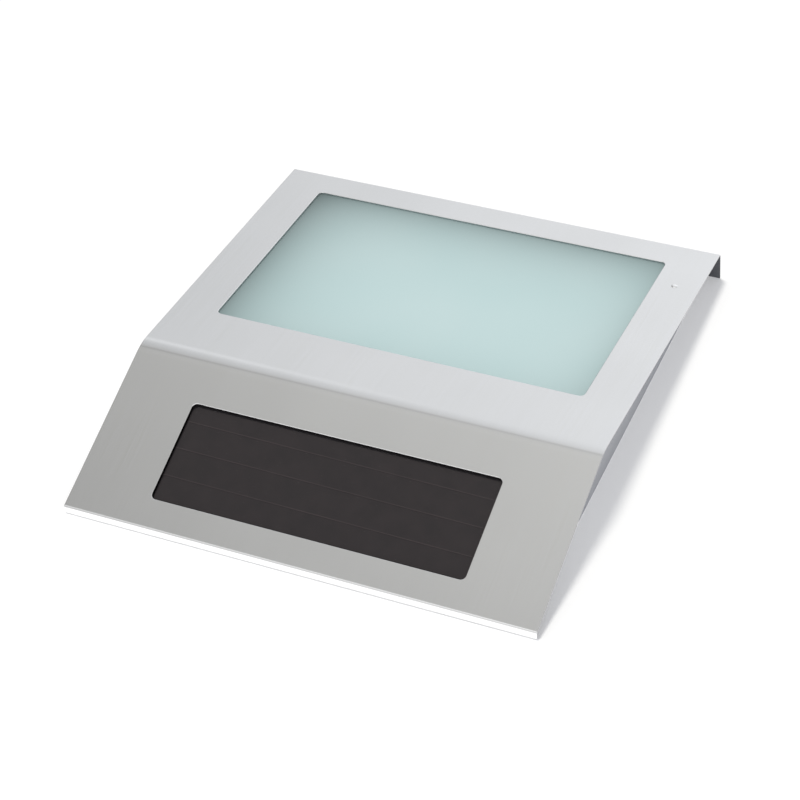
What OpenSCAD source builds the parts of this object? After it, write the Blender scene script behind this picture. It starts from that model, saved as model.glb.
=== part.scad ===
// Solar house number light, lying on its back as on a table.
// The wall plane is z = 0, and the solar end, which is the top when it hangs, is at -Y.

/* [Front plate] */
// Width of the steel plate
plate_w = 185; // [160:1:220]
// Length of the steel plate, measured along the wall
plate_l = 199; // [180:1:230]
// Distance from the near edge to the line where the two panels would meet
bend_y = 68.1; // [64:0.1:80]
// Height of that line above the wall
bend_z = 26; // [25:0.1:32]
// Height of the near lip
lip_z = 3.2; // [3:0.1:5]
// Height of the far flange
far_z = 12.2; // [12:0.1:16]
// Thickness of the steel sheet
sheet_t = 0.6; // [0.5:0.1:0.8]
// Outer radius of the main bend
bend_r = 20; // [10:1:30]
// Outer radius of the lip and flange bends
edge_r = 1.2; // [1:0.1:2]

/* [Windows] */
// Corner radius of both windows
window_r = 2; // [1:0.5:6]
// Steel left on each side of the number window
number_side = 17.85; // [17.5:0.05:30]
// Steel left between the bend line and the number window
number_near = 26.9; // [26:0.1:40]
// Steel left between the number window and the far edge
number_far = 13.1; // [12:0.1:30]
// Steel left on each side of the solar window
solar_side = 30.85; // [28:0.05:45]
// Steel left between the near edge and the solar window
solar_near = 11.8; // [11.5:0.1:18]
// Steel left between the solar window and the bend line
solar_far = 19.4; // [18:0.1:26]

/* [Weld studs] */
// Diameter of a stud
stud_d = 2.5; // [2:0.1:3]
// Length of a stud below the sheet
stud_l = 7; // [5:0.5:8]
// Distance from the plate's side edge to a stud
stud_side = 9.7; // [9:0.1:11]
// Distance from the far edge to the far pair, measured along the panel
stud_far = 27.3; // [20:0.1:40]
// Distance from the bend line to the near pair, measured along the panel
stud_near = 13; // [10:0.5:20]
// Diameter of the welded foot of a stud
stud_foot_d = 3.6; // [3:0.1:4]
// Thickness of the welded foot
stud_foot_t = 0.4; // [0.2:0.1:0.6]
// Gap round a stud in its socket
stud_gap = 0.1; // [0.05:0.05:0.2]

/* [Housing] */
// How far the plate overhangs the housing on each side
overhang = 6; // [5:0.5:8]
// Gap between the plate and the housing
fit_gap = 0.1; // [0.1:0.05:0.3]
// How far the housing stops short of the near lip
nose_gap = 4; // [3:0.5:5]
// Length of the solid nose
nose_l = 9; // [8:0.5:12]
// Thickness of the face under the plate
face_t = 2; // [1.5:0.1:2.5]
// Thickness of the side and far walls
wall_t = 3; // [2.5:0.1:4]
// Skin left outside the recess of the rear cover
rim_t = 1.5; // [1:0.1:2]
// Thickness of the wall that keeps the light out of the battery side
partition_t = 1.5; // [1:0.1:2]
// Distance from that wall to the light strip
partition_gap = 3.5; // [2.5:0.5:4]

/* [Panels and seals] */
// Gap between the steel and the panels behind its windows
front_gap = 0.3; // [0.2:0.05:0.5]
// Thickness of the number panel
number_t = 2; // [1.5:0.1:3]
// How far the number panel reaches behind the steel
number_lap = 3; // [2.5:0.1:4]
// Thickness of the solar glass
glass_t = 1.8; // [1.5:0.1:2.2]
// How far the solar glass reaches behind the steel
glass_lap = 5; // [4.5:0.1:5.5]
// Corner radius of the panels
panel_r = 2; // [1:0.5:4]
// Gap round a panel in its rebate
panel_gap = 0.2; // [0.1:0.05:0.4]
// Thickness of the seals under the panels
seal_t = 0.8; // [0.5:0.1:1]
// Width of the seals under the panels
seal_w = 2; // [1.5:0.1:2.5]
// Thickness of the ledge under a seal
ledge_t = 1.5; // [1:0.1:2]
// Wall round a rebate
rebate_t = 2; // [1.5:0.1:2.5]

/* [Solar cells] */
// Number of cell strips
strip_n = 4; // [3:1:6]
// Distance from the seal to the strips at the near end, the far end and the sides
strip_near = 2.25; // [1:0.05:4]
strip_far = 0.35; // [0.2:0.05:3]
strip_side = 3.85; // [0.5:0.05:8]
// Width of the line between two strips
strip_line = 0.4; // [0.2:0.1:0.8]
// Thickness of the strips
strip_t = 0.2; // [0.1:0.05:0.25]
// Thickness of the film that carries them
film_t = 0.1; // [0.1:0.05:0.2]

/* [Rear cover] */
// Thickness of the rear cover
cover_t = 2; // [1.8:0.1:2.5]
// Gap round the cover in its recess
cover_gap = 0.2; // [0.1:0.05:0.3]
// Corner radius of the cover
cover_r = 3; // [2:0.5:5]
// Thickness of the cover's seal
cover_seal_t = 0.6; // [0.4:0.1:0.8]
// Width of the cover's seal
cover_seal_w = 1; // [0.8:0.1:1.2]

/* [Cover screws] */
// Thread diameter of the cover and door screws
screw_d = 3; // [2.5:0.1:3.5]
// Length of a screw, head included
screw_l = 6.5; // [5:0.5:7]
// Head diameter
head_d = 5.6; // [5:0.1:6]
// Height of the conical head
head_h = 1.5; // [1.2:0.1:1.6]
// How deep the heads are sunk
head_sunk = 0.2; // [0.1:0.1:0.4]
// Length, width and depth of each slot of the cross in a head
cross_l = 3.7; // [3:0.1:4]
cross_w = 0.8; // [0.6:0.1:1]
cross_depth = 0.9; // [0.6:0.1:1]
// Bevel of a screw's tip
screw_tip = 0.7; // [0.4:0.1:0.9]
// Room past a screw's tip
tip_room = 0.5; // [0.3:0.1:0.8]
// Gap round a screw in a hole
screw_gap = 0.1; // [0.05:0.05:0.2]
// Diameter of a screw boss
boss_d = 7; // [6:0.5:8]
// Gap between a boss and the cover's seal
boss_gap = 0.1; // [0.05:0.05:0.2]
// Distance of the near, middle and far pair from the near edge of the plate
boss_near = 23.5; // [22:0.5:28]
boss_mid = 124; // [110:1:140]
// Distance of the far pair from the far edge of the plate
boss_far = 9.5; // [8:0.5:14]

/* [Keyholes] */
// Distance of each keyhole from the middle
keyhole_x = 60; // [55:1:65]
// Distance from the bend line to the entry, away from the solar end
keyhole_y = 7; // [4:0.5:9]
// Radius of the entry for the screw head
keyhole_r = 4; // [3.5:0.1:4.5]
// Width of the slot for the shank
keyhole_slot = 4.4; // [4:0.1:5]
// Distance that the light slides down over the screw
keyhole_travel = 12; // [9:0.5:14]
// Room for the head behind the cover
keyhole_depth = 4.6; // [4:0.1:5]
// Gap beside the head in its cup
keyhole_room = 0.8; // [0.5:0.1:1]
// Wall of the cup
keyhole_wall = 1.4; // [1:0.1:2]

/* [Battery] */
// Diameter of the cell
cell_d = 14.5; // [13.5:0.1:14.5]
// Length of the cell with its button
cell_l = 50.5; // [49:0.1:50.5]
// Diameter of the button
button_d = 5.5; // [4.5:0.1:5.5]
// Height of the button
button_h = 1; // [0.8:0.1:1.2]
// Gap beside the cell in its bay
cell_gap = 0.5; // [0.3:0.1:0.6]
// Distance of the cell's axis from the bend line, away from the solar end
cell_y = 5.4; // [5:0.1:6.5]
// Wall of the battery bay
bay_t = 1.5; // [1.2:0.1:1.6]
// Width of the flange round the bay
bay_flange = 2.4; // [2:0.1:2.5]
// Thickness of that flange
bay_flange_t = 1.2; // [1:0.1:1.5]
// Length of the compressed spring
spring_l = 6.7; // [6:0.1:8]
// Radius of the spring at the contact, to the middle of the wire
spring_foot_r = 5; // [4.5:0.1:5.3]
// Radius of the spring at the cell, to the middle of the wire
spring_tip_r = 2.8; // [2.4:0.1:3.5]
// Diameter of the spring wire
spring_wire = 0.8; // [0.6:0.1:0.9]
// Number of turns of the spring
spring_n = 4; // [3:0.5:4]
// Thickness of the contact plates
contact_t = 0.4; // [0.3:0.1:0.5]
// Side of a contact plate
contact_w = 12; // [10:0.5:13]
// Width of the solder tab of a contact
tab_w = 3; // [2:0.5:4]
// How far a tab stands out of the bay
tab_out = 2; // [1.5:0.5:3]

/* [Battery door] */
// Thickness of the door
door_t = 1.6; // [1.4:0.1:1.8]
// How deep the door lies below the back
door_sunk = 0.3; // [0.2:0.1:0.5]
// Thickness of the door's seal
door_seal_t = 0.6; // [0.4:0.1:0.8]
// Width of the door's seal
door_seal_w = 2; // [1.5:0.1:2.2]
// Ledge round the opening that the door rests on
door_ledge = 3; // [2.8:0.1:3.5]
// Thickness of that ledge
door_ledge_t = 1.5; // [1.2:0.1:2]
// Gap round the door
door_gap = 0.3; // [0.2:0.1:0.4]
// Wall round the door's recess
door_wall = 1.5; // [1:0.1:2]
// Distance from the opening to a door screw
door_screw_out = 7.5; // [7.2:0.1:8.5]
// Material between a door screw and the end of the door
door_end = 4; // [3.5:0.1:5]
// Diameter of a door screw's boss, and the plastic past its hole
door_boss_d = 6; // [5.4:0.1:6.4]
door_boss_end = 1; // [0.8:0.1:1.5]

/* [Light strip] */
// Length of the light strip's board
strip_board_l = 140; // [120:1:144]
// Height of that board
strip_board_h = 9.8; // [8:0.1:12]
// Thickness of both boards
board_t = 1; // [0.8:0.1:1.6]
// How far the strip stands before the number window
strip_back = 2.4; // [2.2:0.1:4]
// Number of LEDs
led_n = 4; // [2:1:8]
// Distance from LED to LED
led_pitch = 32; // [14:1:34]
// Width, height and depth of an LED's base
led_w = 3.5; // [3:0.1:4]
led_h = 2.8; // [2.5:0.1:3.5]
led_base = 0.9; // [0.6:0.1:1]
// Radius of an LED's lens
led_lens_r = 1.1; // [0.8:0.1:1.2]

/* [Reflector] */
// Thickness of the reflector
reflector_t = 1; // [0.8:0.1:1.5]
// Gap between the reflector and the bosses beside it
reflector_gap = 0.5; // [0.3:0.1:1]
// Height of its floor's near end above the cover
reflector_low = 0.4; // [0.2:0.1:1]
// Height of its floor's far end above the cover
reflector_high = 2.4; // [1.5:0.1:3]
// Height of the groove that holds the light strip
groove_h = 3.4; // [2.5:0.1:4]
// Gap beside the light strip in its groove
groove_gap = 0.1; // [0.05:0.05:0.2]

/* [Control board] */
// Width and depth of the control board
control_w = 50; // [46:1:56]
control_l = 20; // [18:1:22]
// Distance from the near edge of the plate to the board
control_near = 25.5; // [24:0.5:28]
// Height of its standoffs
standoff_h = 2; // [1.5:0.1:2.5]
// Diameter of a standoff
standoff_d = 5; // [4.5:0.1:5.5]
// Distance from the board's edges to a screw
standoff_in = 3.2; // [3:0.1:4]
// Thread diameter of a board screw
board_screw_d = 1.8; // [1.6:0.1:2]
// Length of its thread
board_screw_l = 4; // [3:0.1:4]
// Head diameter and height of a board screw
board_head_d = 3.6; // [3:0.1:4]
board_head_h = 1.2; // [1:0.1:1.5]
// Width, depth and height of the charge chip
chip_w = 5; // [4:0.1:6]
chip_l = 4; // [3:0.1:5]
chip_h = 1.6; // [1:0.1:2]
// Diameter and height of the inductor, and its distance from the board's left end
inductor_d = 5; // [4:0.1:6]
inductor_h = 3; // [2:0.1:4]
inductor_in = 13; // [11:0.5:15]
// Diameter and height of the capacitor, and its distance from the board's right end
capacitor_d = 5; // [4:0.1:5.5]
capacitor_h = 4.5; // [3:0.1:5]
capacitor_in = 14; // [12:0.5:15]
// Number of resistors
resistor_n = 4; // [2:1:6]
// Width, depth and height of a resistor
resistor_w = 1.6; // [1:0.1:2]
resistor_l = 0.9; // [0.5:0.1:1.2]
resistor_h = 0.5; // [0.3:0.1:0.6]
// Distance from the board's near edge to the resistors
resistor_in = 3.6; // [2:0.1:4.5]

/* [Switch] */
// Distance of the switch from the middle
switch_x = 50; // [46:1:54]
// Distance of the switch from the near edge of the plate
switch_y = 35.5; // [34:0.5:40]
// Width, depth and height of the switch
switch_w = 13; // [12:0.5:14]
switch_l = 6.4; // [6:0.1:7]
switch_h = 5; // [4.5:0.1:5.5]
// Wall of the switch's metal case
switch_wall = 0.8; // [0.6:0.1:1]
// Width and depth of the knob
knob_w = 2.6; // [2:0.1:3]
knob_l = 2.4; // [2:0.1:2.8]
// Travel of the knob
knob_travel = 3; // [2:0.5:3]
// Gap round the knob
knob_gap = 0.3; // [0.2:0.05:0.4]
// How deep the knob's tip lies below the back
knob_sunk = 0.3; // [0.2:0.1:0.5]
// Height of the slider inside the switch
slider_h = 1.6; // [1.2:0.1:2]
// Depth of the finger dish round the knob
dish_depth = 1; // [0.8:0.1:1.2]
// How far the dish reaches past the knob's travel and beside the knob
dish_end = 2; // [1.5:0.1:2.5]
dish_side = 2.5; // [2:0.1:2.8]
// Width of the rib that holds the switch
switch_rib = 1; // [0.8:0.1:1.5]
// Gap between the rib and the switch
switch_gap = 0.15; // [0.1:0.05:0.3]

/* [Leads] */
// Diameter of a lead
lead_d = 1.2; // [0.8:0.1:1.4]

/* [Hidden] */
$fn = 48;
// How far a cut runs past the face it opens
over = 1;
// Overlap that joins two shapes into one
join = 0.3;
// Extra radius that makes a round corner cross its flats instead of grazing them
hair = 0.0005;

near_y = -plate_l / 2;
far_y = plate_l / 2;
crease_y = near_y + bend_y;
lower_a = atan((bend_z - lip_z) / bend_y);
upper_a = atan((bend_z - far_z) / (plate_l - bend_y));
lower_l = bend_y / cos(lower_a);
upper_l = (plate_l - bend_y) / cos(upper_a);

number_w = plate_w - 2 * number_side;
number_l = upper_l - number_near - number_far;
number_mid = number_near + number_l / 2;
solar_w = plate_w - 2 * solar_side;
solar_l = lower_l - solar_near - solar_far;
solar_mid = solar_near + solar_l / 2;
number_panel_w = number_w + 2 * number_lap;
number_panel_l = number_l + 2 * number_lap;
glass_w = solar_w + 2 * glass_lap;
glass_l = solar_l + 2 * glass_lap;

// Depths below the outer face of the steel
house_d = sheet_t + fit_gap;
inner_d = house_d + face_t;
panel_d = sheet_t + front_gap;
number_seal_d = panel_d + number_t;
glass_seal_d = panel_d + glass_t;

house_x = plate_w / 2 - overhang;
house_near = near_y + nose_gap;
house_far = far_y - house_d;
cavity_x = house_x - wall_t;
cavity_near = house_near + nose_l;
cavity_far = house_far - wall_t;
recess_x = house_x - rim_t;
recess_near = cavity_near - (wall_t - rim_t);
recess_far = house_far - rim_t;
recess_z = cover_t + cover_seal_t;
cover_w = 2 * (recess_x - cover_gap);
cover_l = recess_far - recess_near - 2 * cover_gap;

stud_x = plate_w / 2 - stud_side;
stud_along = [stud_near, upper_l - stud_far];
boss_x = recess_x - cover_gap - cover_seal_w - boss_gap - boss_d / 2;
boss_y = [near_y + boss_near, near_y + boss_mid, far_y - boss_far];
boss_hole_z = head_sunk + screw_l + tip_room;

bay_y = crease_y + cell_y;
bay_w = cell_d + 2 * cell_gap;
bay_l = cell_l + spring_l + 2 * contact_t;
bay_z = door_sunk + door_t + door_seal_t + door_ledge_t;
cell_z = bay_z + cell_gap + cell_d / 2;
bay_top = cell_z + cell_d / 2 + cell_gap;
cell_plus_x = bay_l / 2 - contact_t;
cell_minus_x = cell_plus_x - cell_l;
door_ledge_z = door_sunk + door_t + door_seal_t;
door_screw_x = bay_l / 2 + door_screw_out;
door_w = 2 * (door_screw_x + door_end);
door_l = bay_w + 2 * door_ledge;
tab_z = cell_z + contact_w / 2 - contact_t;

led_y = crease_y + number_near * cos(upper_a) - strip_back;
partition_y = led_y - board_t / 2 - partition_gap - partition_t / 2;
groove_z = cover_t + reflector_low;
reflector_x = boss_x - boss_d / 2 - reflector_gap;
reflector_far = crease_y + (number_near + number_l + number_lap - seal_w) * cos(upper_a);

control_y = near_y + control_near + control_l / 2;
control_z = cover_t + standoff_h;
control_top = control_z + board_t;
switch_mid_y = near_y + switch_y;
knob_rest_x = switch_x - knob_travel / 2;
keyhole_mid_y = crease_y + keyhole_y;

// Height of the lower panel's plane, d below its outer face
function lower_z(y, d) = lip_z + (y - near_y) * tan(lower_a) - d / cos(lower_a);
// Height of the upper panel's plane, d below its outer face
function upper_z(y, d) = far_z + (far_y - y) * tan(upper_a) - d / cos(upper_a);
// Place where those two planes meet
function crease_at(d) =
    (far_z - lip_z + near_y * tan(lower_a) + far_y * tan(upper_a) + d * (1 / cos(lower_a) - 1 / cos(upper_a)))
    / (tan(lower_a) + tan(upper_a));
function unit(v) = v / norm(v);
// A point on the lower panel, by its distance from the middle, up the slope and below the steel
function on_lower_at(x, along, depth) = [
    x,
    near_y + along * cos(lower_a) + depth * sin(lower_a),
    lip_z + along * sin(lower_a) - depth * cos(lower_a)
];

// Turns a side outline in Y and Z into a block w wide
module across(w) {
    rotate([90, 0, 90]) linear_extrude(w, center = true) children();
}

// The waste outside a round corner of radius r
module corner_waste(before, corner, after, r) {
    u = unit(before - corner);
    v = unit(after - corner);
    half = acos(u * v) / 2;
    middle = corner + unit(u + v) * r / sin(half);
    reach = 1.5;
    rim = [corner + u * r / tan(half), corner, corner + v * r / tan(half)];
    difference() {
        polygon(concat([middle], [for (p = rim) middle + (p - middle) * reach]));
        translate(middle) circle(r + hair, $fn = 96);
    }
}

// Side outline d below the steel's outer face, from y0 to y1 and down to z0
module side_shape(d, y0, y1, z0, end_r = 0) {
    crease = crease_at(d);
    p = [[y0, z0], [y0, lower_z(y0, d)], [crease, lower_z(crease, d)], [y1, upper_z(y1, d)], [y1, z0]];
    r = [end_r, bend_r - d, end_r];
    difference() {
        polygon(p);
        for (i = [1:3]) {
            if (r[i - 1] > 0) corner_waste(p[i - 1], p[i], p[i + 1], r[i - 1]);
        }
    }
}

// Places things on a panel: y runs up from the near edge, or away from the bend line, and z points out
module on_lower(along) {
    translate([0, near_y, lip_z]) rotate([lower_a, 0, 0]) translate([0, along, 0]) children();
}
module on_upper(along) {
    translate([0, crease_y, bend_z]) rotate([-upper_a, 0, 0]) translate([0, along, 0]) children();
}

module rounded_rect(w, l, r) {
    square([w - 2 * r, l], center = true);
    square([w, l - 2 * r], center = true);
    for (x = [-1, 1], y = [-1, 1]) {
        translate([x * (w / 2 - r), y * (l / 2 - r)]) circle(r);
    }
}

// A rounded plate whose top lies depth below the place it is put
module sunk_plate(w, l, r, depth, t) {
    translate([0, 0, -depth - t]) linear_extrude(t) rounded_rect(w, l, r);
}

// A flat ring along the inside of a rounded rectangle
module sunk_ring(w, l, r, ring, depth, t) {
    translate([0, 0, -depth - t]) linear_extrude(t) difference() {
        rounded_rect(w, l, r);
        rounded_rect(w - 2 * ring, l - 2 * ring, max(r - ring, 0.5));
    }
}

// Steel sheet with its lip, two panels and far flange
module front_plate() {
    color("#d3d5d8") difference() {
        across(plate_w) difference() {
            side_shape(0, near_y, far_y, 0, edge_r);
            side_shape(sheet_t, near_y + sheet_t, far_y - sheet_t, -over, edge_r - sheet_t);
        }
        on_upper(number_mid) sunk_plate(number_w, number_l, window_r, -over, 2 * over + sheet_t);
        on_lower(solar_mid) sunk_plate(solar_w, solar_l, window_r, -over, 2 * over + sheet_t);
    }
}

module at_studs() {
    for (along = stud_along, side = [-1, 1]) {
        on_upper(along) translate([side * stud_x, 0, 0]) children();
    }
}

// Four studs welded behind the upper panel
module plate_studs() {
    color("#b9bbbd") at_studs() {
        translate([0, 0, -sheet_t - stud_foot_t]) cylinder(d = stud_foot_d, h = stud_foot_t);
        translate([0, 0, -sheet_t - stud_l]) cylinder(d = stud_d, h = stud_l);
    }
}

// Sockets in the housing that the studs are glued into
module stud_sockets() {
    socket_d = stud_d + 2 * (stud_gap + wall_t / 2);
    at_studs() translate([0, 0, -sheet_t - stud_l - wall_t / 2]) cylinder(d = socket_d, h = stud_l);
}

module stud_holes() {
    at_studs() {
        translate([0, 0, -sheet_t - stud_l - tip_room])
            cylinder(r = stud_d / 2 + stud_gap, h = stud_l + tip_room + over);
        translate([0, 0, -house_d - stud_foot_t - fit_gap])
            cylinder(r = stud_foot_d / 2 + stud_gap, h = stud_foot_t + fit_gap + over);
    }
}

module at_bosses() {
    for (x = [-boss_x, boss_x], y = boss_y) {
        translate([x, y, 0]) children();
    }
}

// Ribs that tie the bosses to the side walls, above the seal
module boss_ribs() {
    for (side = [-1, 1], y = boss_y) {
        translate([side * (boss_x + cavity_x + join) / 2, y, recess_z + bend_z / 2])
            cube([cavity_x + join - boss_x, wall_t / 2, bend_z], center = true);
    }
}

// The housing's inner room, drawn larger by grow
module cavity(grow = 0) {
    across(2 * (cavity_x + grow))
        side_shape(inner_d - grow, cavity_near - grow, cavity_far + grow, cover_t);
}

// Frame, rebate and opening for a panel, each placed by on_lower or on_upper
module rebate_frame(w, l, depth) {
    grow = 2 * (panel_gap + rebate_t);
    sunk_plate(w + grow, l + grow, panel_r, inner_d - join, depth + ledge_t - inner_d + join);
}
module rebate_cut(w, l, depth) {
    sunk_plate(w + 2 * panel_gap, l + 2 * panel_gap, panel_r, 0, depth);
}
module rebate_opening(w, l) {
    sunk_plate(w - 2 * seal_w, l - 2 * seal_w, max(panel_r - seal_w, 0.5), 0, bend_z);
}

// Wall between the battery side and the light, with a notch for the leads
module partition() {
    difference() {
        translate([-house_x, partition_y - partition_t / 2, recess_z])
            cube([2 * house_x, partition_t, bend_z]);
        translate([led_lead_x - 2 * lead_d, partition_y - over, 0])
            cube([led_lead_pitch + 4 * lead_d, 2 * over, led_lead_z + 2 * lead_d]);
    }
}

// Moulded housing that carries everything behind the plate
module front_housing() {
    color("#c9cacb") difference() {
        union() {
            difference() {
                across(2 * house_x) side_shape(house_d, house_near, house_far, 0, edge_r);
                cavity();
            }
            intersection() {
                cavity(join);
                union() {
                    at_bosses() cylinder(d = boss_d, h = bend_z);
                    boss_ribs();
                    stud_sockets();
                    partition();
                    on_upper(number_mid) rebate_frame(number_panel_w, number_panel_l, number_seal_d + seal_t);
                    on_lower(solar_mid) rebate_frame(glass_w, glass_l, glass_seal_d + seal_t);
                }
            }
        }
        difference() {
            translate([0, (recess_near + recess_far) / 2, -over]) linear_extrude(recess_z + over)
                rounded_rect(2 * recess_x, recess_far - recess_near, cover_r);
            translate([0, 0, cover_t]) at_bosses() cylinder(d = boss_d, h = bend_z);
        }
        on_upper(number_mid) {
            rebate_cut(number_panel_w, number_panel_l, number_seal_d + seal_t);
            rebate_opening(number_panel_w, number_panel_l);
        }
        on_lower(solar_mid) rebate_cut(glass_w, glass_l, glass_seal_d + seal_t);
        intersection() {
            on_lower(solar_mid) rebate_opening(glass_w, glass_l);
            translate([-house_x, cavity_near, recess_z]) cube([2 * house_x, bend_y, bend_z]);
        }
        translate([0, 0, -over]) at_bosses() cylinder(r = screw_d / 2 + screw_gap, h = boss_hole_z + over);
        stud_holes();
    }
}

// Frosted acrylic panel behind the number window
module number_panel() {
    color("#bcdada") on_upper(number_mid)
        sunk_plate(number_panel_w, number_panel_l, panel_r, panel_d, number_t);
}

module number_seal() {
    color("#2c2c2e") on_upper(number_mid)
        sunk_ring(number_panel_w, number_panel_l, panel_r, seal_w, number_seal_d, seal_t);
}

// Glass in front of the solar cells
module solar_glass() {
    color("#3a3636") on_lower(solar_mid) sunk_plate(glass_w, glass_l, panel_r, panel_d, glass_t);
}

module solar_seal() {
    color("#2c2c2e") on_lower(solar_mid) sunk_ring(glass_w, glass_l, panel_r, seal_w, glass_seal_d, seal_t);
}

// Thin-film cells on the back of the glass, with a line between each two strips
module solar_cells() {
    w = glass_w - 2 * (seal_w + strip_side);
    l = glass_l - 2 * seal_w - strip_near - strip_far;
    pitch = l / strip_n;
    color("#2b2627") on_lower(solar_mid + (strip_near - strip_far) / 2) {
        translate([-w / 2, -l / 2, -glass_seal_d - strip_t - film_t]) cube([w, l, film_t + strip_t / 4]);
        for (i = [0:strip_n - 1]) {
            translate([-w / 2, i * pitch - l / 2 + strip_line / 2, -glass_seal_d - strip_t])
                cube([w, pitch - strip_line, strip_t]);
        }
    }
}

// White tray that spreads the light under the number panel
module reflector() {
    t = reflector_t;
    near = led_y - board_t / 2 - groove_gap - t;
    mouth = led_y + board_t / 2 + groove_gap + t;
    frame_d = number_seal_d + seal_t + ledge_t + front_gap;
    color("#f2f2ee") {
        across(2 * reflector_x) polygon([
            [mouth, cover_t], [reflector_far, cover_t], [reflector_far, cover_t + reflector_high],
            [mouth, groove_z]
        ]);
        for (side = [-1, 1]) {
            translate([side * (reflector_x - t / 2), 0, 0]) across(t) polygon([
                [mouth - join, cover_t], [reflector_far, cover_t],
                [reflector_far, upper_z(reflector_far, frame_d)], [mouth - join, upper_z(mouth, frame_d)]
            ]);
        }
        across(2 * reflector_x) translate([reflector_far - t, cover_t])
            square([t, upper_z(reflector_far, frame_d) - cover_t]);
        difference() {
            across(2 * reflector_x) translate([near, cover_t]) square([mouth - near, groove_h]);
            across(2 * (reflector_x + over)) translate([led_y - board_t / 2 - groove_gap, groove_z])
                square([board_t + 2 * groove_gap, groove_h]);
        }
    }
}

// Board that stands in the reflector's groove
module led_board() {
    color("#e6e8e2") translate([-strip_board_l / 2, led_y - board_t / 2, groove_z])
        cube([strip_board_l, board_t, strip_board_h]);
}

module leds() {
    color("#f6f0c8") for (i = [0:led_n - 1]) {
        translate([(i - (led_n - 1) / 2) * led_pitch, led_y + board_t / 2, groove_z + strip_board_h * 0.65]) {
            translate([-led_w / 2, 0, -led_h / 2]) cube([led_w, led_base, led_h]);
            translate([0, led_base, 0]) intersection() {
                sphere(led_lens_r);
                translate([-led_w, -join, -led_w]) cube([2 * led_w, led_w, 2 * led_w]);
            }
        }
    }
}

module at_standoffs() {
    out = [control_w / 2 - standoff_in, control_l / 2 - standoff_in];
    for (x = [-1, 1], y = [-1, 1]) {
        translate([x * out.x, control_y + y * out.y, 0]) children();
    }
}

module control_board() {
    color("#2f6b45") difference() {
        translate([-control_w / 2, control_y - control_l / 2, control_z])
            cube([control_w, control_l, board_t]);
        translate([0, 0, control_z - over]) at_standoffs()
            cylinder(r = board_screw_d / 2 + screw_gap, h = board_t + 2 * over);
    }
}

// Parts soldered on the control board: charge chip, inductor, capacitor and resistors
module board_parts() {
    color("#26282b") translate([0, control_y, control_top]) {
        translate([-chip_w / 2, -chip_l / 2, 0]) cube([chip_w, chip_l, chip_h]);
        translate([inductor_in - control_w / 2, 0, 0]) cylinder(d = inductor_d, h = inductor_h);
        translate([control_w / 2 - capacitor_in, 0, 0]) cylinder(d = capacitor_d, h = capacitor_h);
        for (i = [0:resistor_n - 1]) {
            translate([(i - (resistor_n - 1) / 2) * 2 * resistor_w, resistor_in - control_l / 2, resistor_h / 2])
                cube([resistor_w, resistor_l, resistor_h], center = true);
        }
    }
}

module board_screws() {
    color("#c4c6c8") at_standoffs() {
        translate([0, 0, control_top - board_screw_l]) cylinder(d = board_screw_d, h = board_screw_l);
        translate([0, 0, control_top]) cylinder(d = board_head_d, h = board_head_h);
    }
}

// Slide switch behind the rear cover, open towards its slot
module switch_body() {
    room_w = knob_w + knob_travel + 2 * knob_gap;
    slider_w = room_w + 2 * switch_wall;
    color("#aeb0b3") difference() {
        translate([switch_x - switch_w / 2, switch_mid_y - switch_l / 2, cover_t])
            cube([switch_w, switch_l, switch_h]);
        translate([switch_x - room_w / 2, switch_mid_y - knob_l / 2 - knob_gap, cover_t - over])
            cube([room_w, knob_l + 2 * knob_gap, over + switch_wall + join]);
        translate([switch_x - slider_w / 2, switch_mid_y - switch_l / 2 + switch_wall, cover_t + switch_wall])
            cube([slider_w, switch_l - 2 * switch_wall, slider_h + 2 * knob_gap]);
    }
}

// Knob with the slider that keeps it in the switch
module switch_knob() {
    foot_z = cover_t + switch_wall + knob_gap;
    slider_w = knob_w + 2 * switch_wall;
    slider_l = switch_l - 2 * switch_wall - 2 * knob_gap;
    color("#1d1d1f") translate([knob_rest_x, switch_mid_y, 0]) {
        translate([-knob_w / 2, -knob_l / 2, knob_sunk]) cube([knob_w, knob_l, foot_z - knob_sunk + join]);
        translate([-slider_w / 2, -slider_l / 2, foot_z]) cube([slider_w, slider_l, slider_h]);
    }
}

// Box that holds the cell, open towards the battery door
module battery_bay() {
    shell_w = bay_w + 2 * bay_t;
    shell_l = bay_l + 2 * bay_t;
    color("#3b3c3e") translate([0, bay_y, 0]) difference() {
        union() {
            translate([0, 0, bay_z]) linear_extrude(bay_top + bay_t - bay_z)
                rounded_rect(shell_l, shell_w, bay_t);
            translate([0, 0, bay_z]) linear_extrude(bay_flange_t)
                rounded_rect(shell_l + 2 * bay_flange, shell_w + 2 * bay_flange, bay_t);
        }
        translate([-bay_l / 2, -bay_w / 2, bay_z - over]) cube([bay_l, bay_w, bay_top - bay_z + over]);
        for (side = [-1, 1]) {
            translate([side * (bay_l + bay_t) / 2, 0, tab_z + contact_t / 2])
                cube([bay_t + 2 * join, tab_w + 2 * panel_gap, contact_t + 2 * panel_gap], center = true);
        }
    }
}

// Rechargeable cell with its button at +X
module battery_cell() {
    edge = 0.6;
    r = cell_d / 2;
    can_l = cell_l - button_h;
    color("#3f7f5c") translate([cell_minus_x, bay_y, cell_z]) rotate([0, 90, 0]) rotate_extrude() polygon([
        [0, 0], [r - edge, 0], [r, edge], [r, can_l - edge], [r - edge, can_l],
        [button_d / 2, can_l], [button_d / 2, cell_l], [0, cell_l]
    ]);
}

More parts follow.
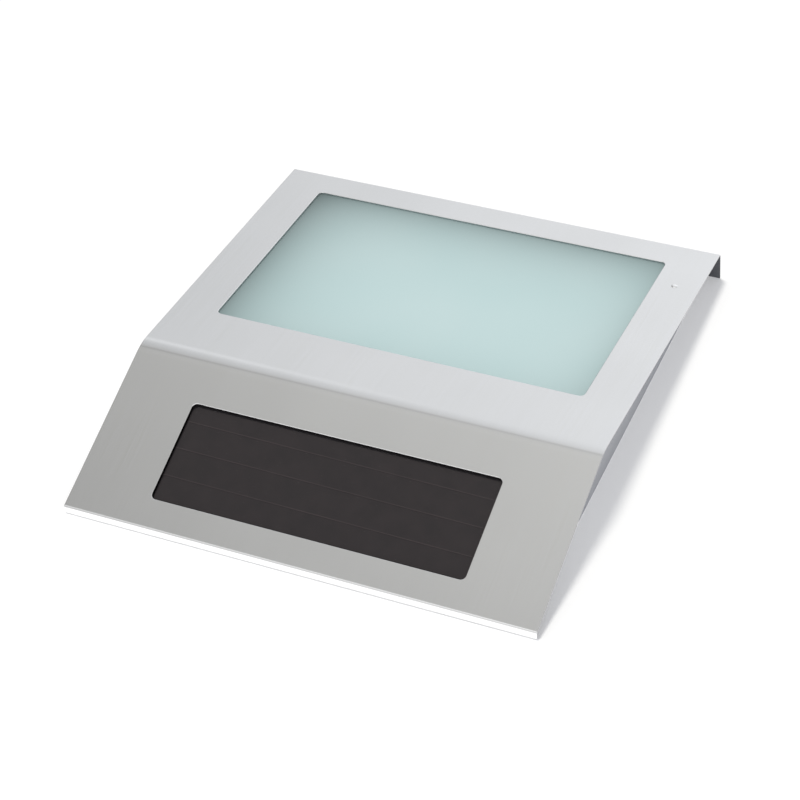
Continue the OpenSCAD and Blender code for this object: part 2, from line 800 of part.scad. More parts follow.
// Centre line of the conical spring, which ends square against the contact and the cell
spring_steps = 8 * spring_n;
spring_rise = spring_l - spring_wire;
function spring_point(i) = let (
    share = i / spring_steps,
    r = spring_foot_r + (spring_tip_r - spring_foot_r) * share,
    a = 360 * spring_n * share
) [r * cos(a), r * sin(a), spring_wire / 2 + spring_rise * share];
spring_path = [for (i = [0:spring_steps]) spring_point(i)];
spring_gap = min([for (i = [0:spring_steps - 4], j = [i + 4:spring_steps])
    norm(spring_path[j] - spring_path[i]) - spring_wire]);
echo(spring_least_gap = spring_gap);

// A tube swept along a path, its rings square to the path and turned alike about side_axis
module tube(path, d, sides, side_axis) {
    last = len(path) - 1;
    rings = [for (i = [0:last])
        let (
            along = unit(path[min(i + 1, last)] - path[max(i - 1, 0)]),
            flat = unit(cross(along, side_axis)),
            up = cross(flat, along)
        )
        for (k = [0:sides - 1]) path[i] + d / 2 * (flat * cos(360 * k / sides) + up * sin(360 * k / sides))
    ];
    walls = [for (i = [0:last - 1], k = [0:sides - 1])
        let (a = i * sides + k, b = i * sides + (k + 1) % sides)
        each [[a, b, b + sides], [a, b + sides, a + sides]]
    ];
    ends = [[for (k = [0:sides - 1]) sides - 1 - k], [for (k = [0:sides - 1]) last * sides + k]];
    polyhedron(rings, concat(walls, ends), convexity = 8);
}

module battery_spring() {
    color("#d8d9da") translate([cell_minus_x - spring_l, bay_y, cell_z]) rotate([0, 90, 0])
        tube(spring_path, spring_wire, 6, [0, 0, 1]);
}

// Contact plate with a tab through the bay's end wall
module contact(side) {
    plate_x = bay_l / 2 - contact_t / 2;
    tab_l = bay_t + tab_out;
    translate([side * plate_x, bay_y, cell_z])
        cube([contact_t, contact_w, contact_w], center = true);
    translate([side * (plate_x + tab_l / 2), bay_y, tab_z + contact_t / 2])
        cube([contact_t + tab_l, tab_w, contact_t], center = true);
}

module minus_contact() {
    color("#cfd0d1") contact(-1);
}

module plus_contact() {
    color("#cfd0d1") contact(1);
}

// Keyhole outline: a round entry with a slot towards the solar end
module keyhole_shape(entry_r, slot_r) {
    circle(entry_r);
    translate([-slot_r, -keyhole_travel]) square([2 * slot_r, keyhole_travel]);
    translate([0, -keyhole_travel]) circle(slot_r);
}

module at_keyholes() {
    for (x = [-keyhole_x, keyhole_x]) {
        translate([x, keyhole_mid_y, 0]) children();
    }
}

// Cover plate with its cups, door frame, standoffs and switch ribs
module rear_cover() {
    cup_r = keyhole_r + keyhole_room;
    cup_z = cover_t + keyhole_depth;
    frame_w = door_w + 2 * (door_gap + door_wall);
    frame_l = door_l + 2 * (door_gap + door_wall);
    hole_r = screw_d / 2 + screw_gap;
    room_w = knob_w + knob_travel + 2 * knob_gap;
    rib_w = switch_w + 2 * (switch_gap + switch_rib);
    rib_l = switch_l + 2 * (switch_gap + switch_rib);
    color("#bfc0c2") difference() {
        union() {
            translate([0, (recess_near + recess_far) / 2, 0]) linear_extrude(cover_t)
                rounded_rect(cover_w, cover_l, cover_r - cover_gap);
            at_keyholes() linear_extrude(cup_z + keyhole_wall)
                keyhole_shape(cup_r + keyhole_wall, cup_r + keyhole_wall);
            translate([0, bay_y, 0]) linear_extrude(bay_z) rounded_rect(frame_w, frame_l, cover_r);
            for (x = [-door_screw_x, door_screw_x]) {
                translate([x, bay_y, 0]) cylinder(d = door_boss_d, h = boss_hole_z + door_boss_end);
            }
            at_standoffs() cylinder(d = standoff_d, h = control_z);
            translate([switch_x - rib_w / 2, switch_mid_y - rib_l / 2, cover_t - join])
                cube([rib_w, rib_l, switch_h / 2 + join]);
        }
        translate([switch_x - switch_w / 2 - switch_gap, switch_mid_y - switch_l / 2 - switch_gap, cover_t])
            cube([switch_w + 2 * switch_gap, switch_l + 2 * switch_gap, switch_h]);
        translate([0, 0, -over]) at_keyholes() linear_extrude(cover_t + 2 * over)
            keyhole_shape(keyhole_r, keyhole_slot / 2);
        translate([0, 0, cover_t]) at_keyholes() linear_extrude(keyhole_depth) keyhole_shape(cup_r, cup_r);
        translate([0, bay_y, -over]) {
            linear_extrude(door_ledge_z + over)
                rounded_rect(door_w + 2 * door_gap, door_l + 2 * door_gap, cover_r - door_wall + door_gap);
            translate([-bay_l / 2, -bay_w / 2, 0]) cube([bay_l, bay_w, bay_z + 2 * over]);
            for (x = [-door_screw_x, door_screw_x]) {
                translate([x, 0, 0]) cylinder(r = hole_r, h = boss_hole_z + over);
            }
        }
        at_bosses() screw_seat(cover_t);
        translate([0, 0, control_top - board_screw_l - 0.2]) at_standoffs()
            cylinder(r = board_screw_d / 2 + screw_gap, h = board_screw_l);
        translate([switch_x, switch_mid_y, -over]) {
            linear_extrude(over + dish_depth)
                rounded_rect(room_w + 2 * dish_end, knob_l + 2 * dish_side, dish_end);
            linear_extrude(cover_t + 2 * over) square([room_w, knob_l + 2 * knob_gap], center = true);
        }
    }
}

// Hole for a screw in a plate of thickness t, with the countersink that its head sits in
module screw_seat(t) {
    hole_r = screw_d / 2 + screw_gap;
    head_r = head_d / 2 + screw_gap;
    rotate_extrude() polygon([
        [0, -over], [head_r, -over], [head_r, head_sunk], [hole_r, head_sunk + head_h], [hole_r, t + over],
        [0, t + over]
    ]);
}

// Self-tapping screw with a cross slot and a blunt tip, its head towards the wall
module screw() {
    r = screw_d / 2;
    tip = head_sunk + screw_l;
    difference() {
        rotate_extrude() polygon([
            [0, head_sunk], [head_d / 2, head_sunk], [r, head_sunk + head_h], [r, tip - screw_tip],
            [r - screw_tip, tip], [0, tip]
        ]);
        for (a = [0, 90]) {
            rotate([0, 0, a]) translate([-cross_l / 2, -cross_w / 2, head_sunk - over])
                cube([cross_l, cross_w, over + cross_depth]);
        }
    }
}

module cover_screws() {
    color("#c4c6c8") at_bosses() screw();
}

module cover_seal() {
    color("#2c2c2e") translate([0, (recess_near + recess_far) / 2, cover_t + cover_seal_t])
        sunk_ring(cover_w, cover_l, cover_r - cover_gap, cover_seal_w, 0, cover_seal_t);
}

// Door of the battery bay, held by a captive screw at each end
module battery_door() {
    color("#b4b5b7") translate([0, bay_y, 0]) difference() {
        translate([0, 0, door_sunk]) linear_extrude(door_t) rounded_rect(door_w, door_l, cover_r - door_wall);
        for (x = [-door_screw_x, door_screw_x]) {
            translate([x, 0, door_sunk]) screw_seat(door_t);
        }
    }
}

module door_seal() {
    color("#2c2c2e") translate([0, bay_y, door_ledge_z]) sunk_ring(
        bay_l + 2 * (door_seal_w + join), bay_w + 2 * (door_seal_w + join), door_seal_w, door_seal_w, 0,
        door_seal_t
    );
}

module door_screws() {
    color("#c4c6c8") for (x = [-door_screw_x, door_screw_x]) {
        translate([x, bay_y, door_sunk]) screw();
    }
}

// A route with each inner corner cut to a turn of three points
function turned(points, cut) = [
    for (i = [0:len(points) - 1])
        let (p = points[i], end = i == 0 || i == len(points) - 1)
        each end ? [p] :
            let (u = unit(points[i - 1] - p) * cut, v = unit(points[i + 1] - p) * cut)
            [p + u, p + (u + v) / 4, p + v]
];

// A lead along straight runs with round turns
module lead(points) {
    tube(turned(points, lead_rise / 2), lead_d, 8, unit([0.5, 0.4, 0.8]));
}

// Places that the leads run through
lead_rise = 1.8;
lead_step = 1.6;
lead_inset = 2;
solar_lead_x = 4;
battery_lead_x = 9;
led_turn_x = 5;
led_lead_x = door_w / 2 + door_gap + door_wall + lead_d;
led_lead_pitch = 2 * lead_d + 0.4;
led_lead_z = bay_z + 0.8;
led_solder_z = groove_z + groove_h + 2;
lead_end_y = control_y + control_l / 2 - lead_inset;

// From the back of the cells down to the control board
module solar_leads() {
    back = glass_seal_d + strip_t + film_t;
    color("#b3261e") for (x = [-solar_lead_x, solar_lead_x]) {
        lead([
            on_lower_at(x, solar_mid, back),
            on_lower_at(x, solar_mid, back + lead_rise),
            [x, lead_end_y, control_top + lead_rise],
            [x, lead_end_y, control_top]
        ]);
    }
}

// From the control board round the battery door to the light strip
module led_leads() {
    start_x = control_w / 2 - lead_inset;
    color("#8c8f93") for (i = [0, 1]) {
        x = led_lead_x + i * led_lead_pitch;
        start_y = lead_end_y - standoff_in - board_head_d / 4 - i * lead_step;
        lead([
            [start_x, start_y, control_top],
            [start_x, start_y, control_top + lead_rise],
            [control_w / 2 + led_turn_x + i * led_lead_pitch, start_y, control_top + lead_rise],
            [x, bay_y - door_l / 2 - 3 * door_wall, led_lead_z],
            [x, partition_y - 4, led_lead_z],
            [x, partition_y + 2, led_lead_z],
            [x, led_y - board_t / 2 - lead_rise, led_solder_z],
            [x, led_y - board_t / 2, led_solder_z]
        ]);
    }
}

// From the contacts to the control board
module battery_leads() {
    tab_x = bay_l / 2 + bay_t + tab_out;
    lead_z = tab_z + contact_t / 2;
    color("#8a1d18") for (side = [-1, 1]) {
        end_x = side * (control_w / 2 - battery_lead_x);
        lead([
            [side * tab_x, bay_y, lead_z],
            [side * (tab_x + lead_rise), bay_y, lead_z],
            [side * (tab_x + lead_rise), bay_y - bay_w / 2 - 3 * bay_t, lead_z - 3 * bay_t],
            [end_x, lead_end_y, control_top + lead_rise],
            [end_x, lead_end_y, control_top]
        ]);
    }
}

// From the switch to the control board
module switch_leads() {
    start_x = switch_x - switch_w / 2;
    start_z = cover_t + switch_h - lead_d;
    end_x = control_w / 2 - 3 * lead_inset;
    color("#5c6066") for (y = [switch_mid_y - lead_step / 2, switch_mid_y + lead_step / 2]) {
        lead([
            [start_x, y, start_z],
            [start_x - lead_rise, y, start_z],
            [end_x, y, control_top + lead_rise],
            [end_x, y, control_top]
        ]);
    }
}

front_plate();
plate_studs();
front_housing();
number_panel();
number_seal();
solar_glass();
solar_cells();
solar_seal();
reflector();
led_board();
leds();
control_board();
board_parts();
board_screws();
switch_body();
switch_knob();
battery_bay();
battery_cell();
battery_spring();
minus_contact();
plus_contact();
rear_cover();
cover_seal();
cover_screws();
battery_door();
door_seal();
door_screws();
solar_leads();
led_leads();
battery_leads();
switch_leads();
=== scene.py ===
# %% [markdown]
# # Solar house number light
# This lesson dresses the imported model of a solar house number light. A bent sheet of brushed stainless
# steel carries a frosted number panel and a dark solar panel, and a moulded housing behind it holds
# everything else. The construction is ready when the lesson starts: every rigid piece is already
# modelled at its real size. What is left for Blender is the finish of each surface, and the few pieces
# whose look needs more than the construction gives, such as the layers that lie under the solar glass.

# %% Load the construction
import math

import bmesh
import bpy
from mathutils import Matrix, Quaternion, Vector


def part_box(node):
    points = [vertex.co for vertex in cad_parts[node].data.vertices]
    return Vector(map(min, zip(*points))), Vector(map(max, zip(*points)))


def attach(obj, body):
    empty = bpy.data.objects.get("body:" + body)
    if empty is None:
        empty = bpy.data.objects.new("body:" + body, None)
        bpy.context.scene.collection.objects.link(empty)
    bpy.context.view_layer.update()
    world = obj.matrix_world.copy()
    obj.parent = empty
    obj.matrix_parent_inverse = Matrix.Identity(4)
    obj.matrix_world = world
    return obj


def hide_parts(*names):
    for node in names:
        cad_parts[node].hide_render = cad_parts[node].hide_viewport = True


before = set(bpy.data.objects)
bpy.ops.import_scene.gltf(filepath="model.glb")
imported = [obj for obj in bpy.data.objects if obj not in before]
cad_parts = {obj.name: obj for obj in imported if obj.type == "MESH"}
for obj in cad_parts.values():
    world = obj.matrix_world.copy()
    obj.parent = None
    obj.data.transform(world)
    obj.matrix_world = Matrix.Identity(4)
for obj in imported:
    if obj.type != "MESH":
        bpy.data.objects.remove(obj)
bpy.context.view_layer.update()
MM = 0.001  # Blender works in metres, a maker in millimetres

# %% [markdown]
# ## The camera
# A photograph fixes its camera. Straight edges whose real directions are known, here the sheet's sides,
# its bend and both windows, meet at vanishing points, and those give the direction of view and the focal
# length. A camera helper could frame the object by itself, but then the perspective would be a guess,
# and every later comparison with the photograph would suffer from it. So the measured values are written
# down as they are. The angles are the ones a photographer would name: how far the camera has walked
# round the object, how high it looks down from, and how much it is tilted to one side.

# %% Camera
AZIMUTH, ELEVATION, ROLL = math.radians(28.306), math.radians(42.686), math.radians(-6.75)
DISTANCE = 880.6 * MM
LENS, SENSOR = 104.47, 36  # mm
AIM_RIGHT, AIM_UP = -1.795 * MM, -3.489 * MM  # the object stands this little off the middle of the picture

backwards = Vector((math.sin(AZIMUTH) * math.cos(ELEVATION),
                    -math.cos(AZIMUTH) * math.cos(ELEVATION), math.sin(ELEVATION)))
turn = backwards.to_track_quat("Z", "Y") @ Quaternion((0, 0, 1), ROLL)
camera = bpy.data.objects.new("camera", bpy.data.cameras.new("camera"))
camera.data.sensor_width, camera.data.lens = SENSOR, LENS
camera.rotation_mode = "QUATERNION"
camera.rotation_quaternion = turn
camera.location = backwards * DISTANCE + turn @ Vector((AIM_RIGHT, AIM_UP, 0))
bpy.context.scene.collection.objects.link(camera)
bpy.context.scene.camera = camera
print("camera at", [round(v, 4) for v in camera.location])

# %% [markdown]
# ## Colours and nodes
# A finish here is a small network of nodes. Building one takes many near-identical lines, so one
# function adds any kind of node, sets its values and joins its inputs. Another turns a colour, as it is
# read off a screen, into the linear light that the renderer counts in.

# %% Colour and node helpers


def linear(code):
    """A colour written as sRGB hex, such as #C4C5C8, in the linear light that a shader works with."""
    channels = [int(code[i:i + 2], 16) / 255 for i in (1, 3, 5)]
    return tuple(c / 12.92 if c <= 0.04045 else ((c + 0.055) / 1.055) ** 2.4 for c in channels) + (1.0,)


def socket(node, name):
    """An input by its identifier or, where that isn't found, by the name that the node shows."""
    return next((s for s in node.inputs if s.identifier == name), None) or node.inputs[name]


def add_node(tree, kind, settings=None, links=None):
    """Adds one node. A setting is a property of the node or the value of an input. A link is an output,
    or a node, which stands for the first output that it has in use."""
    node = tree.nodes.new("ShaderNode" + kind)
    for name, value in (settings or {}).items():
        if hasattr(node, name):
            setattr(node, name, value)
        else:
            socket(node, name).default_value = value
    for name, source in (links or {}).items():
        if isinstance(source, bpy.types.Node):
            source = next(output for output in source.outputs if output.enabled)
        tree.links.new(source, socket(node, name))
    return node


def new_material(name):
    """An empty material of that name, and its node tree."""
    material = bpy.data.materials.new(name)
    material.use_nodes = True
    material.node_tree.nodes.clear()
    return material, material.node_tree


print("a mid grey in linear light:", [round(c, 3) for c in linear("#808080")[:3]])

# %% [markdown]
# ## Patterns of a real size
# Every real surface has a pattern, if only a faint one: pits of the mould, scratches of the belt, a
# drift of the colour over some centimetres. The noise texture counts in its own units, so its scale is
# worked out here from the size that a spot has on the real thing. The coordinates are those of the
# object, so the pattern stays on the piece when a joint moves it.

# %% Pattern and finish helpers
CLOUD_RANGE = (0.3, 0.7)  # nearly all of the noise lies between these two


def pattern(tree, x, y=None, z=None, detail=2.0):
    """A cloudy pattern whose spots are this many millimetres long along each axis."""
    place = add_node(tree, "TexCoord")
    size = add_node(tree, "Mapping", {"Scale": tuple(1 / (mm * MM) for mm in (x, y or x, z or x))},
                    {"Vector": place.outputs["Object"]})
    cloud = add_node(tree, "TexNoise", {"Scale": 1.0, "Detail": detail}, {"Vector": size})
    spread = add_node(tree, "MapRange", {"From Min": CLOUD_RANGE[0], "From Max": CLOUD_RANGE[1]},
                      {"Value": cloud.outputs["Fac"]})
    return spread


def surface(tree, shade, rough, relief, depth, settings=None, links=None):
    """Ends a material with its shader: a colour, a roughness, and a relief this many millimetres deep."""
    bump = add_node(tree, "Bump", {"Strength": 0.5, "Distance": depth * MM}, {"Height": relief})
    inputs = {"Base Color": shade, "Roughness": rough, "Normal": bump}
    inputs.update(links or {})
    shader = add_node(tree, "BsdfPrincipled", settings, inputs)
    add_node(tree, "OutputMaterial", {}, {"Surface": shader})


def wear(material, *nodes):
    """Gives nodes of the construction their finish."""
    for name in nodes:
        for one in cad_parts[name].material_slots:
            one.material = material
    print(material.name, "on", ", ".join(nodes))


# %% [markdown]
# ## Broken edges
# No real edge is perfectly sharp. A sheet is deburred after it is cut, and a mould is rounded so that
# the piece comes out of it, and those small roundings are what catches the light along an outline. The
# pieces of the construction keep their shape, so the rounding is put on top of it by modifiers, which
# work on a copy: points that lie on each other are joined, triangles that lie in one plane become one
# face, and then a bevel rounds every edge that turns by more than 40 degrees. The bends of the sheet
# turn in smaller steps and stay smooth. The windows of the sheet are punched, which draws the steel down
# a little around them, so its edge is rounder than its thickness would let one think, and shows as a
# bright line on the far side of the solar window.

# %% Rounded edges on nodes
JOIN_WITHIN = 0.002  # mm
FLAT_WITHIN, EDGE_FROM = math.radians(0.5), math.radians(40)


def round_edges(width, steps, *nodes):
    """Rounds the edges of nodes of the construction by this many millimetres, in steps."""
    for name in nodes:
        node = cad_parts[name]
        node.modifiers.new("join", "WELD").merge_threshold = JOIN_WITHIN * MM
        plane = node.modifiers.new("one_plane", "DECIMATE")
        plane.decimate_type, plane.angle_limit = "DISSOLVE", FLAT_WITHIN
        bevel = node.modifiers.new("broken_edge", "BEVEL")
        bevel.width, bevel.segments, bevel.angle_limit = width * MM, steps, EDGE_FROM
        bevel.use_clamp_overlap, bevel.miter_outer = False, "MITER_ARC"
        node.modifiers.new("even_shade", "WEIGHTED_NORMAL").weight = 100
    print("edges rounded by", width, "mm on", ", ".join(nodes))


round_edges(0.25, 3, "front_plate")
round_edges(0.15, 2, "switch_knob")
round_edges(0.3, 2, "front_housing", "battery_bay")
round_edges(0.12, 2, "rear_cover", "battery_door", "reflector")

# %% [markdown]
# ## Brushed stainless steel
# The front is one sheet of stainless steel, 0.6 mm thick, brushed with a fine abrasive belt. Each
# scratch is a tiny groove, so light spreads across the grooves and stays tight along them: to the eye
# that is a soft satin sheen in place of a mirror, a little streaky when looked at closely. Metal has no
# colour under its gloss, so all that it shows is its surroundings, tinted by the steel. The belt ran up
# the sheet, over the bend, which is why the change of light at the bend is crisp while everything
# sideways is blurred. Real scratches are about 0.05 mm wide, too fine to show here, so bundles of them
# are drawn half a millimetre wide and 45 mm long.

# %% Steel of the front
BEND_LINE = -32.9  # mm along Y, where a fine darker line runs along the bend
LINE_WIDTH = 0.7  # mm
STEEL_ROUGH, SCRATCH_ROUGH = 0.23, 0.03  # roughness between the scratches, and what a scratch adds

steel, tree = new_material("brushed_stainless_steel")
grain = pattern(tree, 0.5, 45.0, 45.0, detail=3.0)
drift = pattern(tree, 40.0, detail=1.0)
rough = add_node(tree, "Math", {"operation": "MULTIPLY_ADD", "Value_001": SCRATCH_ROUGH,
                                "Value_002": STEEL_ROUGH}, {"Value": grain})
bright = add_node(tree, "Mix", {"data_type": "RGBA", "A_Color": linear("#D9D9D9"),
                               "B_Color": linear("#DBDBDC")}, {"Factor_Float": grain})
soft = add_node(tree, "Mix", {"data_type": "RGBA", "blend_type": "MULTIPLY",
                              "B_Color": linear("#FBFBFB")}, {"Factor_Float": drift, "A_Color": bright})
print("steel begun:", steel.name)

# %% [markdown]
# A fine darker line runs along the bend, near its lower edge. It is drawn by how far a point is from that
# line, which a Math node gives, so the line stays sharp at any distance.

# %% Darker line along the bend
place = add_node(tree, "TexCoord")
axes = add_node(tree, "SeparateXYZ", {}, {"Vector": place.outputs["Object"]})
away = add_node(tree, "Math", {"operation": "SUBTRACT", "Value_001": BEND_LINE * MM},
                {"Value": axes.outputs["Y"]})
far = add_node(tree, "Math", {"operation": "ABSOLUTE"}, {"Value": away})
darkened = add_node(tree, "MapRange", {"From Max": LINE_WIDTH * MM, "To Min": 1.0, "To Max": 0.0},
                 {"Value": far})
marked = add_node(tree, "Mix", {"data_type": "RGBA", "blend_type": "MULTIPLY",
                                "B_Color": linear("#F2F2F2")}, {"Factor_Float": darkened, "A_Color": soft})
print("punch line at", BEND_LINE, "mm")

# %% [markdown]
# The back of the sheet and the inside of the far flange are drawn a dark grey without any metal: painted
# shade, for the dark inside the far flange. Which side a point is on follows from its normal: the back
# looks down, and inside the flange it looks towards the viewer.

# %% Painted shade on the back, and shader of the steel
FLANGE_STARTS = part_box("front_plate")[1].y - 3 * MM
LOOKS_DOWN, LOOKS_NEAR = -0.85, -0.5  # parts of the normal along Z and Y

facing = add_node(tree, "SeparateXYZ", {}, {"Vector": place.outputs["Normal"]})
below = add_node(tree, "Math", {"operation": "LESS_THAN", "Value_001": LOOKS_DOWN},
                 {"Value": facing.outputs["Z"]})
towards = add_node(tree, "Math", {"operation": "LESS_THAN", "Value_001": LOOKS_NEAR},
                   {"Value": facing.outputs["Y"]})
at_flange = add_node(tree, "Math", {"operation": "GREATER_THAN", "Value_001": FLANGE_STARTS},
                     {"Value": axes.outputs["Y"]})
inside = add_node(tree, "Math", {"operation": "MULTIPLY"}, {"Value": towards,
                                                            "Value_001": at_flange})
# the back and the inside of the far flange take the dark grey of painted shade
painted_back_shade = add_node(tree, "Math", {"operation": "MAXIMUM"}, {"Value": below,
                                                           "Value_001": inside})
back_shaded = add_node(tree, "Mix", {"data_type": "RGBA", "B_Color": linear("#75767A")},
                  {"Factor_Float": painted_back_shade, "A_Color": marked})
metal = add_node(tree, "Math", {"operation": "SUBTRACT", "Value": 1.0}, {"Value_001": painted_back_shade})
across = add_node(tree, "CombineXYZ", {"X": 1.0})
surface(tree, back_shaded, rough, grain, 0.0003,
        {"Anisotropic": 0.6}, {"Tangent": across, "Metallic": metal})
wear(steel, "front_plate")

# %% [markdown]
# ## Moulded plastics
# The housing, the cover and the door are moulded in ABS. The mould is spark eroded, which leaves a fine
# matt texture of rounded pits, so the plastic has a soft broad sheen and hides scratches. The real pits
# are under 0.1 mm; they are drawn 0.35 mm wide, the finest that still shows. Each piece comes out of its
# own mould, so their greys differ a little. The battery bay is the same plastic in anthracite, the knob
# is glossier nylon, and the tray that spreads the light is white polystyrene, polished so that it throws
# back as much light as it can.

# %% Plastic finishes
ROUGH_SPREAD = 0.1  # how much the roughness changes over a texture


def coloured(name, colour, darker, spot, roughness, depth, settings):
    """A coloured surface, such as plastic or ink: the colour drifts a little over it, and a fine texture
    carries the sheen."""
    material, tree = new_material(name)
    drift, texture = pattern(tree, 30.0, detail=1.0), pattern(tree, spot)
    shade = add_node(tree, "Mix", {"data_type": "RGBA", "A_Color": linear(colour),
                                  "B_Color": linear(darker)}, {"Factor_Float": drift})
    rough = add_node(tree, "Math", {"operation": "MULTIPLY_ADD", "Value_001": ROUGH_SPREAD,
                                    "Value_002": roughness - ROUGH_SPREAD / 2}, {"Value": texture})
    surface(tree, shade, rough, texture, depth, settings)
    return material


ABS, NYLON, STYRENE = {"IOR": 1.53}, {"IOR": 1.53}, {"IOR": 1.59}
wear(coloured("moulded_abs_grey", "#D9DADD", "#D5D6D9", 0.35, 0.5, 0.02, ABS), "front_housing")
wear(coloured("moulded_abs_cover", "#CFD0D3", "#CCCDD0", 0.35, 0.5, 0.02, ABS), "rear_cover")
wear(coloured("moulded_abs_door", "#C8C9CC", "#C5C6C9", 0.35, 0.5, 0.02, ABS), "battery_door")
wear(coloured("moulded_abs_anthracite", "#3D3E40", "#38393B", 0.35, 0.5, 0.02, ABS), "battery_bay")
wear(coloured("moulded_nylon_black", "#1B1C1E", "#17181A", 0.25, 0.38, 0.01, NYLON), "switch_knob")
wear(coloured("polished_polystyrene_white", "#F0F0EE", "#ECECEA", 0.8, 0.28, 0.004, STYRENE), "reflector")

# %% [markdown]
# ## A frame for each face
# The number face and the solar face lean to and from each other. Pieces that lie on them are easiest to
# draw flat, as on a drawing board, and then laid in place by a matrix. The panel behind each window says
# where its face is: its largest flat side gives the direction square to it, and its corners give the
# middle and size.

# %% Find the two faces


def board_of(node):
    """The drawing board of a flat panel: x along X, y up the slope and z out of the face, from the middle
    of its front."""
    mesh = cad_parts[node].data
    outward = max((f for f in mesh.polygons if f.normal.z > 0.5), key=lambda f: f.area).normal.normalized()
    uphill = outward.cross(Vector((1, 0, 0)))
    turned = Matrix((Vector((1, 0, 0)), uphill, outward)).transposed()
    flat = [turned.transposed() @ v.co for v in mesh.vertices]
    low = Vector([min(v[i] for v in flat) for i in range(3)])
    high = Vector([max(v[i] for v in flat) for i in range(3)])
    middle = Vector(((low.x + high.x) / 2, (low.y + high.y) / 2, high.z))
    return Matrix.Translation(turned @ middle) @ turned.to_4x4(), high - low


number_board, number_size = board_of("number_panel")
solar_board, solar_size = board_of("solar_glass")
print("number panel", [round(v / MM, 2) for v in number_size])
print("solar glass", [round(v / MM, 2) for v in solar_size])

# %% [markdown]
# ## Flat pieces on a drawing board
# The acrylic, the glass and the ribbons of the cells are all flat pieces with a rounded outline. One
# function builds them from rings of points, the way a stack of cut card would be built. The top ring can
# be drawn in a little, which breaks the sharp rim as grinding does on real glass.

# %% Flat pieces
CORNER_STEPS = 8  # pieces that a round corner is made of


def rounded_ring(size, radius, middle, height):
    """Points round a rectangle with round corners, at one height. All measures are in millimetres."""
    points = []
    for side_x, side_y, start in ((1, 1, 0), (-1, 1, 90), (-1, -1, 180), (1, -1, 270)):
        for i in range(CORNER_STEPS + 1):
            angle = math.radians(start + 90 * i / CORNER_STEPS)
            x = side_x * (size[0] / 2 - radius) + radius * math.cos(angle)
            y = side_y * (size[1] / 2 - radius) + radius * math.sin(angle)
            points.append(((x + middle[0]) * MM, (y + middle[1]) * MM, height * MM))
    return points


def stacked(name, board, rings, hole=None):
    """Joins rings of points into a closed piece. The first and last ring are filled or, where there are
    rings for a hole, joined to them."""
    build = bmesh.new()
    loops = [[build.verts.new(point) for point in ring] for ring in rings + (hole or [])]
    pairs = list(zip(loops, loops[1:]))
    if hole:
        pairs.append((loops[-1], loops[0]))
    else:
        build.faces.new(list(reversed(loops[0])))
        build.faces.new(loops[-1])
    for lower, upper in pairs:
        for i in range(len(lower)):
            j = (i + 1) % len(lower)
            build.faces.new((lower[i], lower[j], upper[j], upper[i]))
    mesh = bpy.data.meshes.new(name)
    build.to_mesh(mesh)
    build.free()
    piece = bpy.data.objects.new(name, mesh)
    bpy.context.scene.collection.objects.link(piece)
    piece.matrix_world = board
    return piece


def slab(name, board, size, heights, radius, ground=0.0, middle=(0.0, 0.0)):
    """A flat piece between two heights. All measures are in millimetres."""
    rings = []
    for inset, height in ((0.0, heights[0]), (0.0, heights[1] - ground), (ground, heights[1])):
        inner = (size[0] - 2 * inset, size[1] - 2 * inset)
        rings.append(rounded_ring(inner, radius - inset, middle, height))
    return stacked(name, board, rings if ground else rings[:2])


def put(piece, material, body="light"):
    """Finishes a new piece and lets it ride on a body."""
    piece.data.materials.append(material)
    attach(piece, body)
    print(piece.name, "in", material.name)


# %% [markdown]
# ## The number panel
# The panel is a sheet of milky acrylic, 2 mm thick and frosted in front, so that the light strip behind
# shines through evenly. By day it is a pale blue-green field just below the steel. The light that makes
# it bright comes in through the window and spreads sideways in the sheet and in the tray behind it, so
# the field fades over a centimetre or two towards the rims. It fades most along the left and far rims,
# which turn their backs to the lamp. Real translucency would need many samples to show this, so the fade
# is painted shade in the material's colour, by the distance from each side of the window.

# %% Painted rim shade of the number panel
ACRYLIC_IOR = 1.49
WINDOW_IN = 3.0  # mm that the steel's rim covers of the panel on each side
PAINTED_RIM_SHADE = (  # side of the window: axis, direction, share of painted shade at the rim, and reach in mm
    ("X", -1, 0.57, 15.5), ("X", 1, 0.21, 9.0), ("Y", 1, 0.47, 14.5), ("Y", -1, 0.11, 13.0))

frost, tree = new_material("frosted_milky_acrylic")
place = add_node(tree, "TexCoord")
axes = add_node(tree, "SeparateXYZ", {}, {"Vector": place.outputs["Object"]})
# light is the share of the colour that the painted rim shade leaves
light = None
for axis, side, lost, reach in PAINTED_RIM_SHADE:
    half = number_size["XY".index(axis)] / 2 - WINDOW_IN * MM
    inward = add_node(tree, "Math", {"operation": "MULTIPLY_ADD", "Value_001": side / (reach * MM),
                                     "Value_002": -half / (reach * MM)}, {"Value": axes.outputs[axis]})
    within = add_node(tree, "Math", {"operation": "MINIMUM", "Value_001": 0.0}, {"Value": inward})
    fade = add_node(tree, "Math", {"operation": "EXPONENT"}, {"Value": within})
    keep = add_node(tree, "Math", {"operation": "MULTIPLY_ADD", "Value_001": -lost, "Value_002": 1.0},
                    {"Value": fade})
    light = keep if light is None else add_node(tree, "Math", {"operation": "MULTIPLY"},
                                                {"Value": light,
                                                 "Value_001": keep})
print("fades drawn:", len(PAINTED_RIM_SHADE))

# %% [markdown]
# The frost itself is made by blasting with fine grit, about 0.1 mm, which leaves a dull, even, slightly
# grainy surface. The grain is drawn 0.4 mm wide so that it shows at all, and very faint.

# %% Number panel
FROST_ROUGH = 0.6
PANEL_RADIUS, GROUND = 3.0, 0.2  # mm: corners of both panels, and how far their rims are ground away

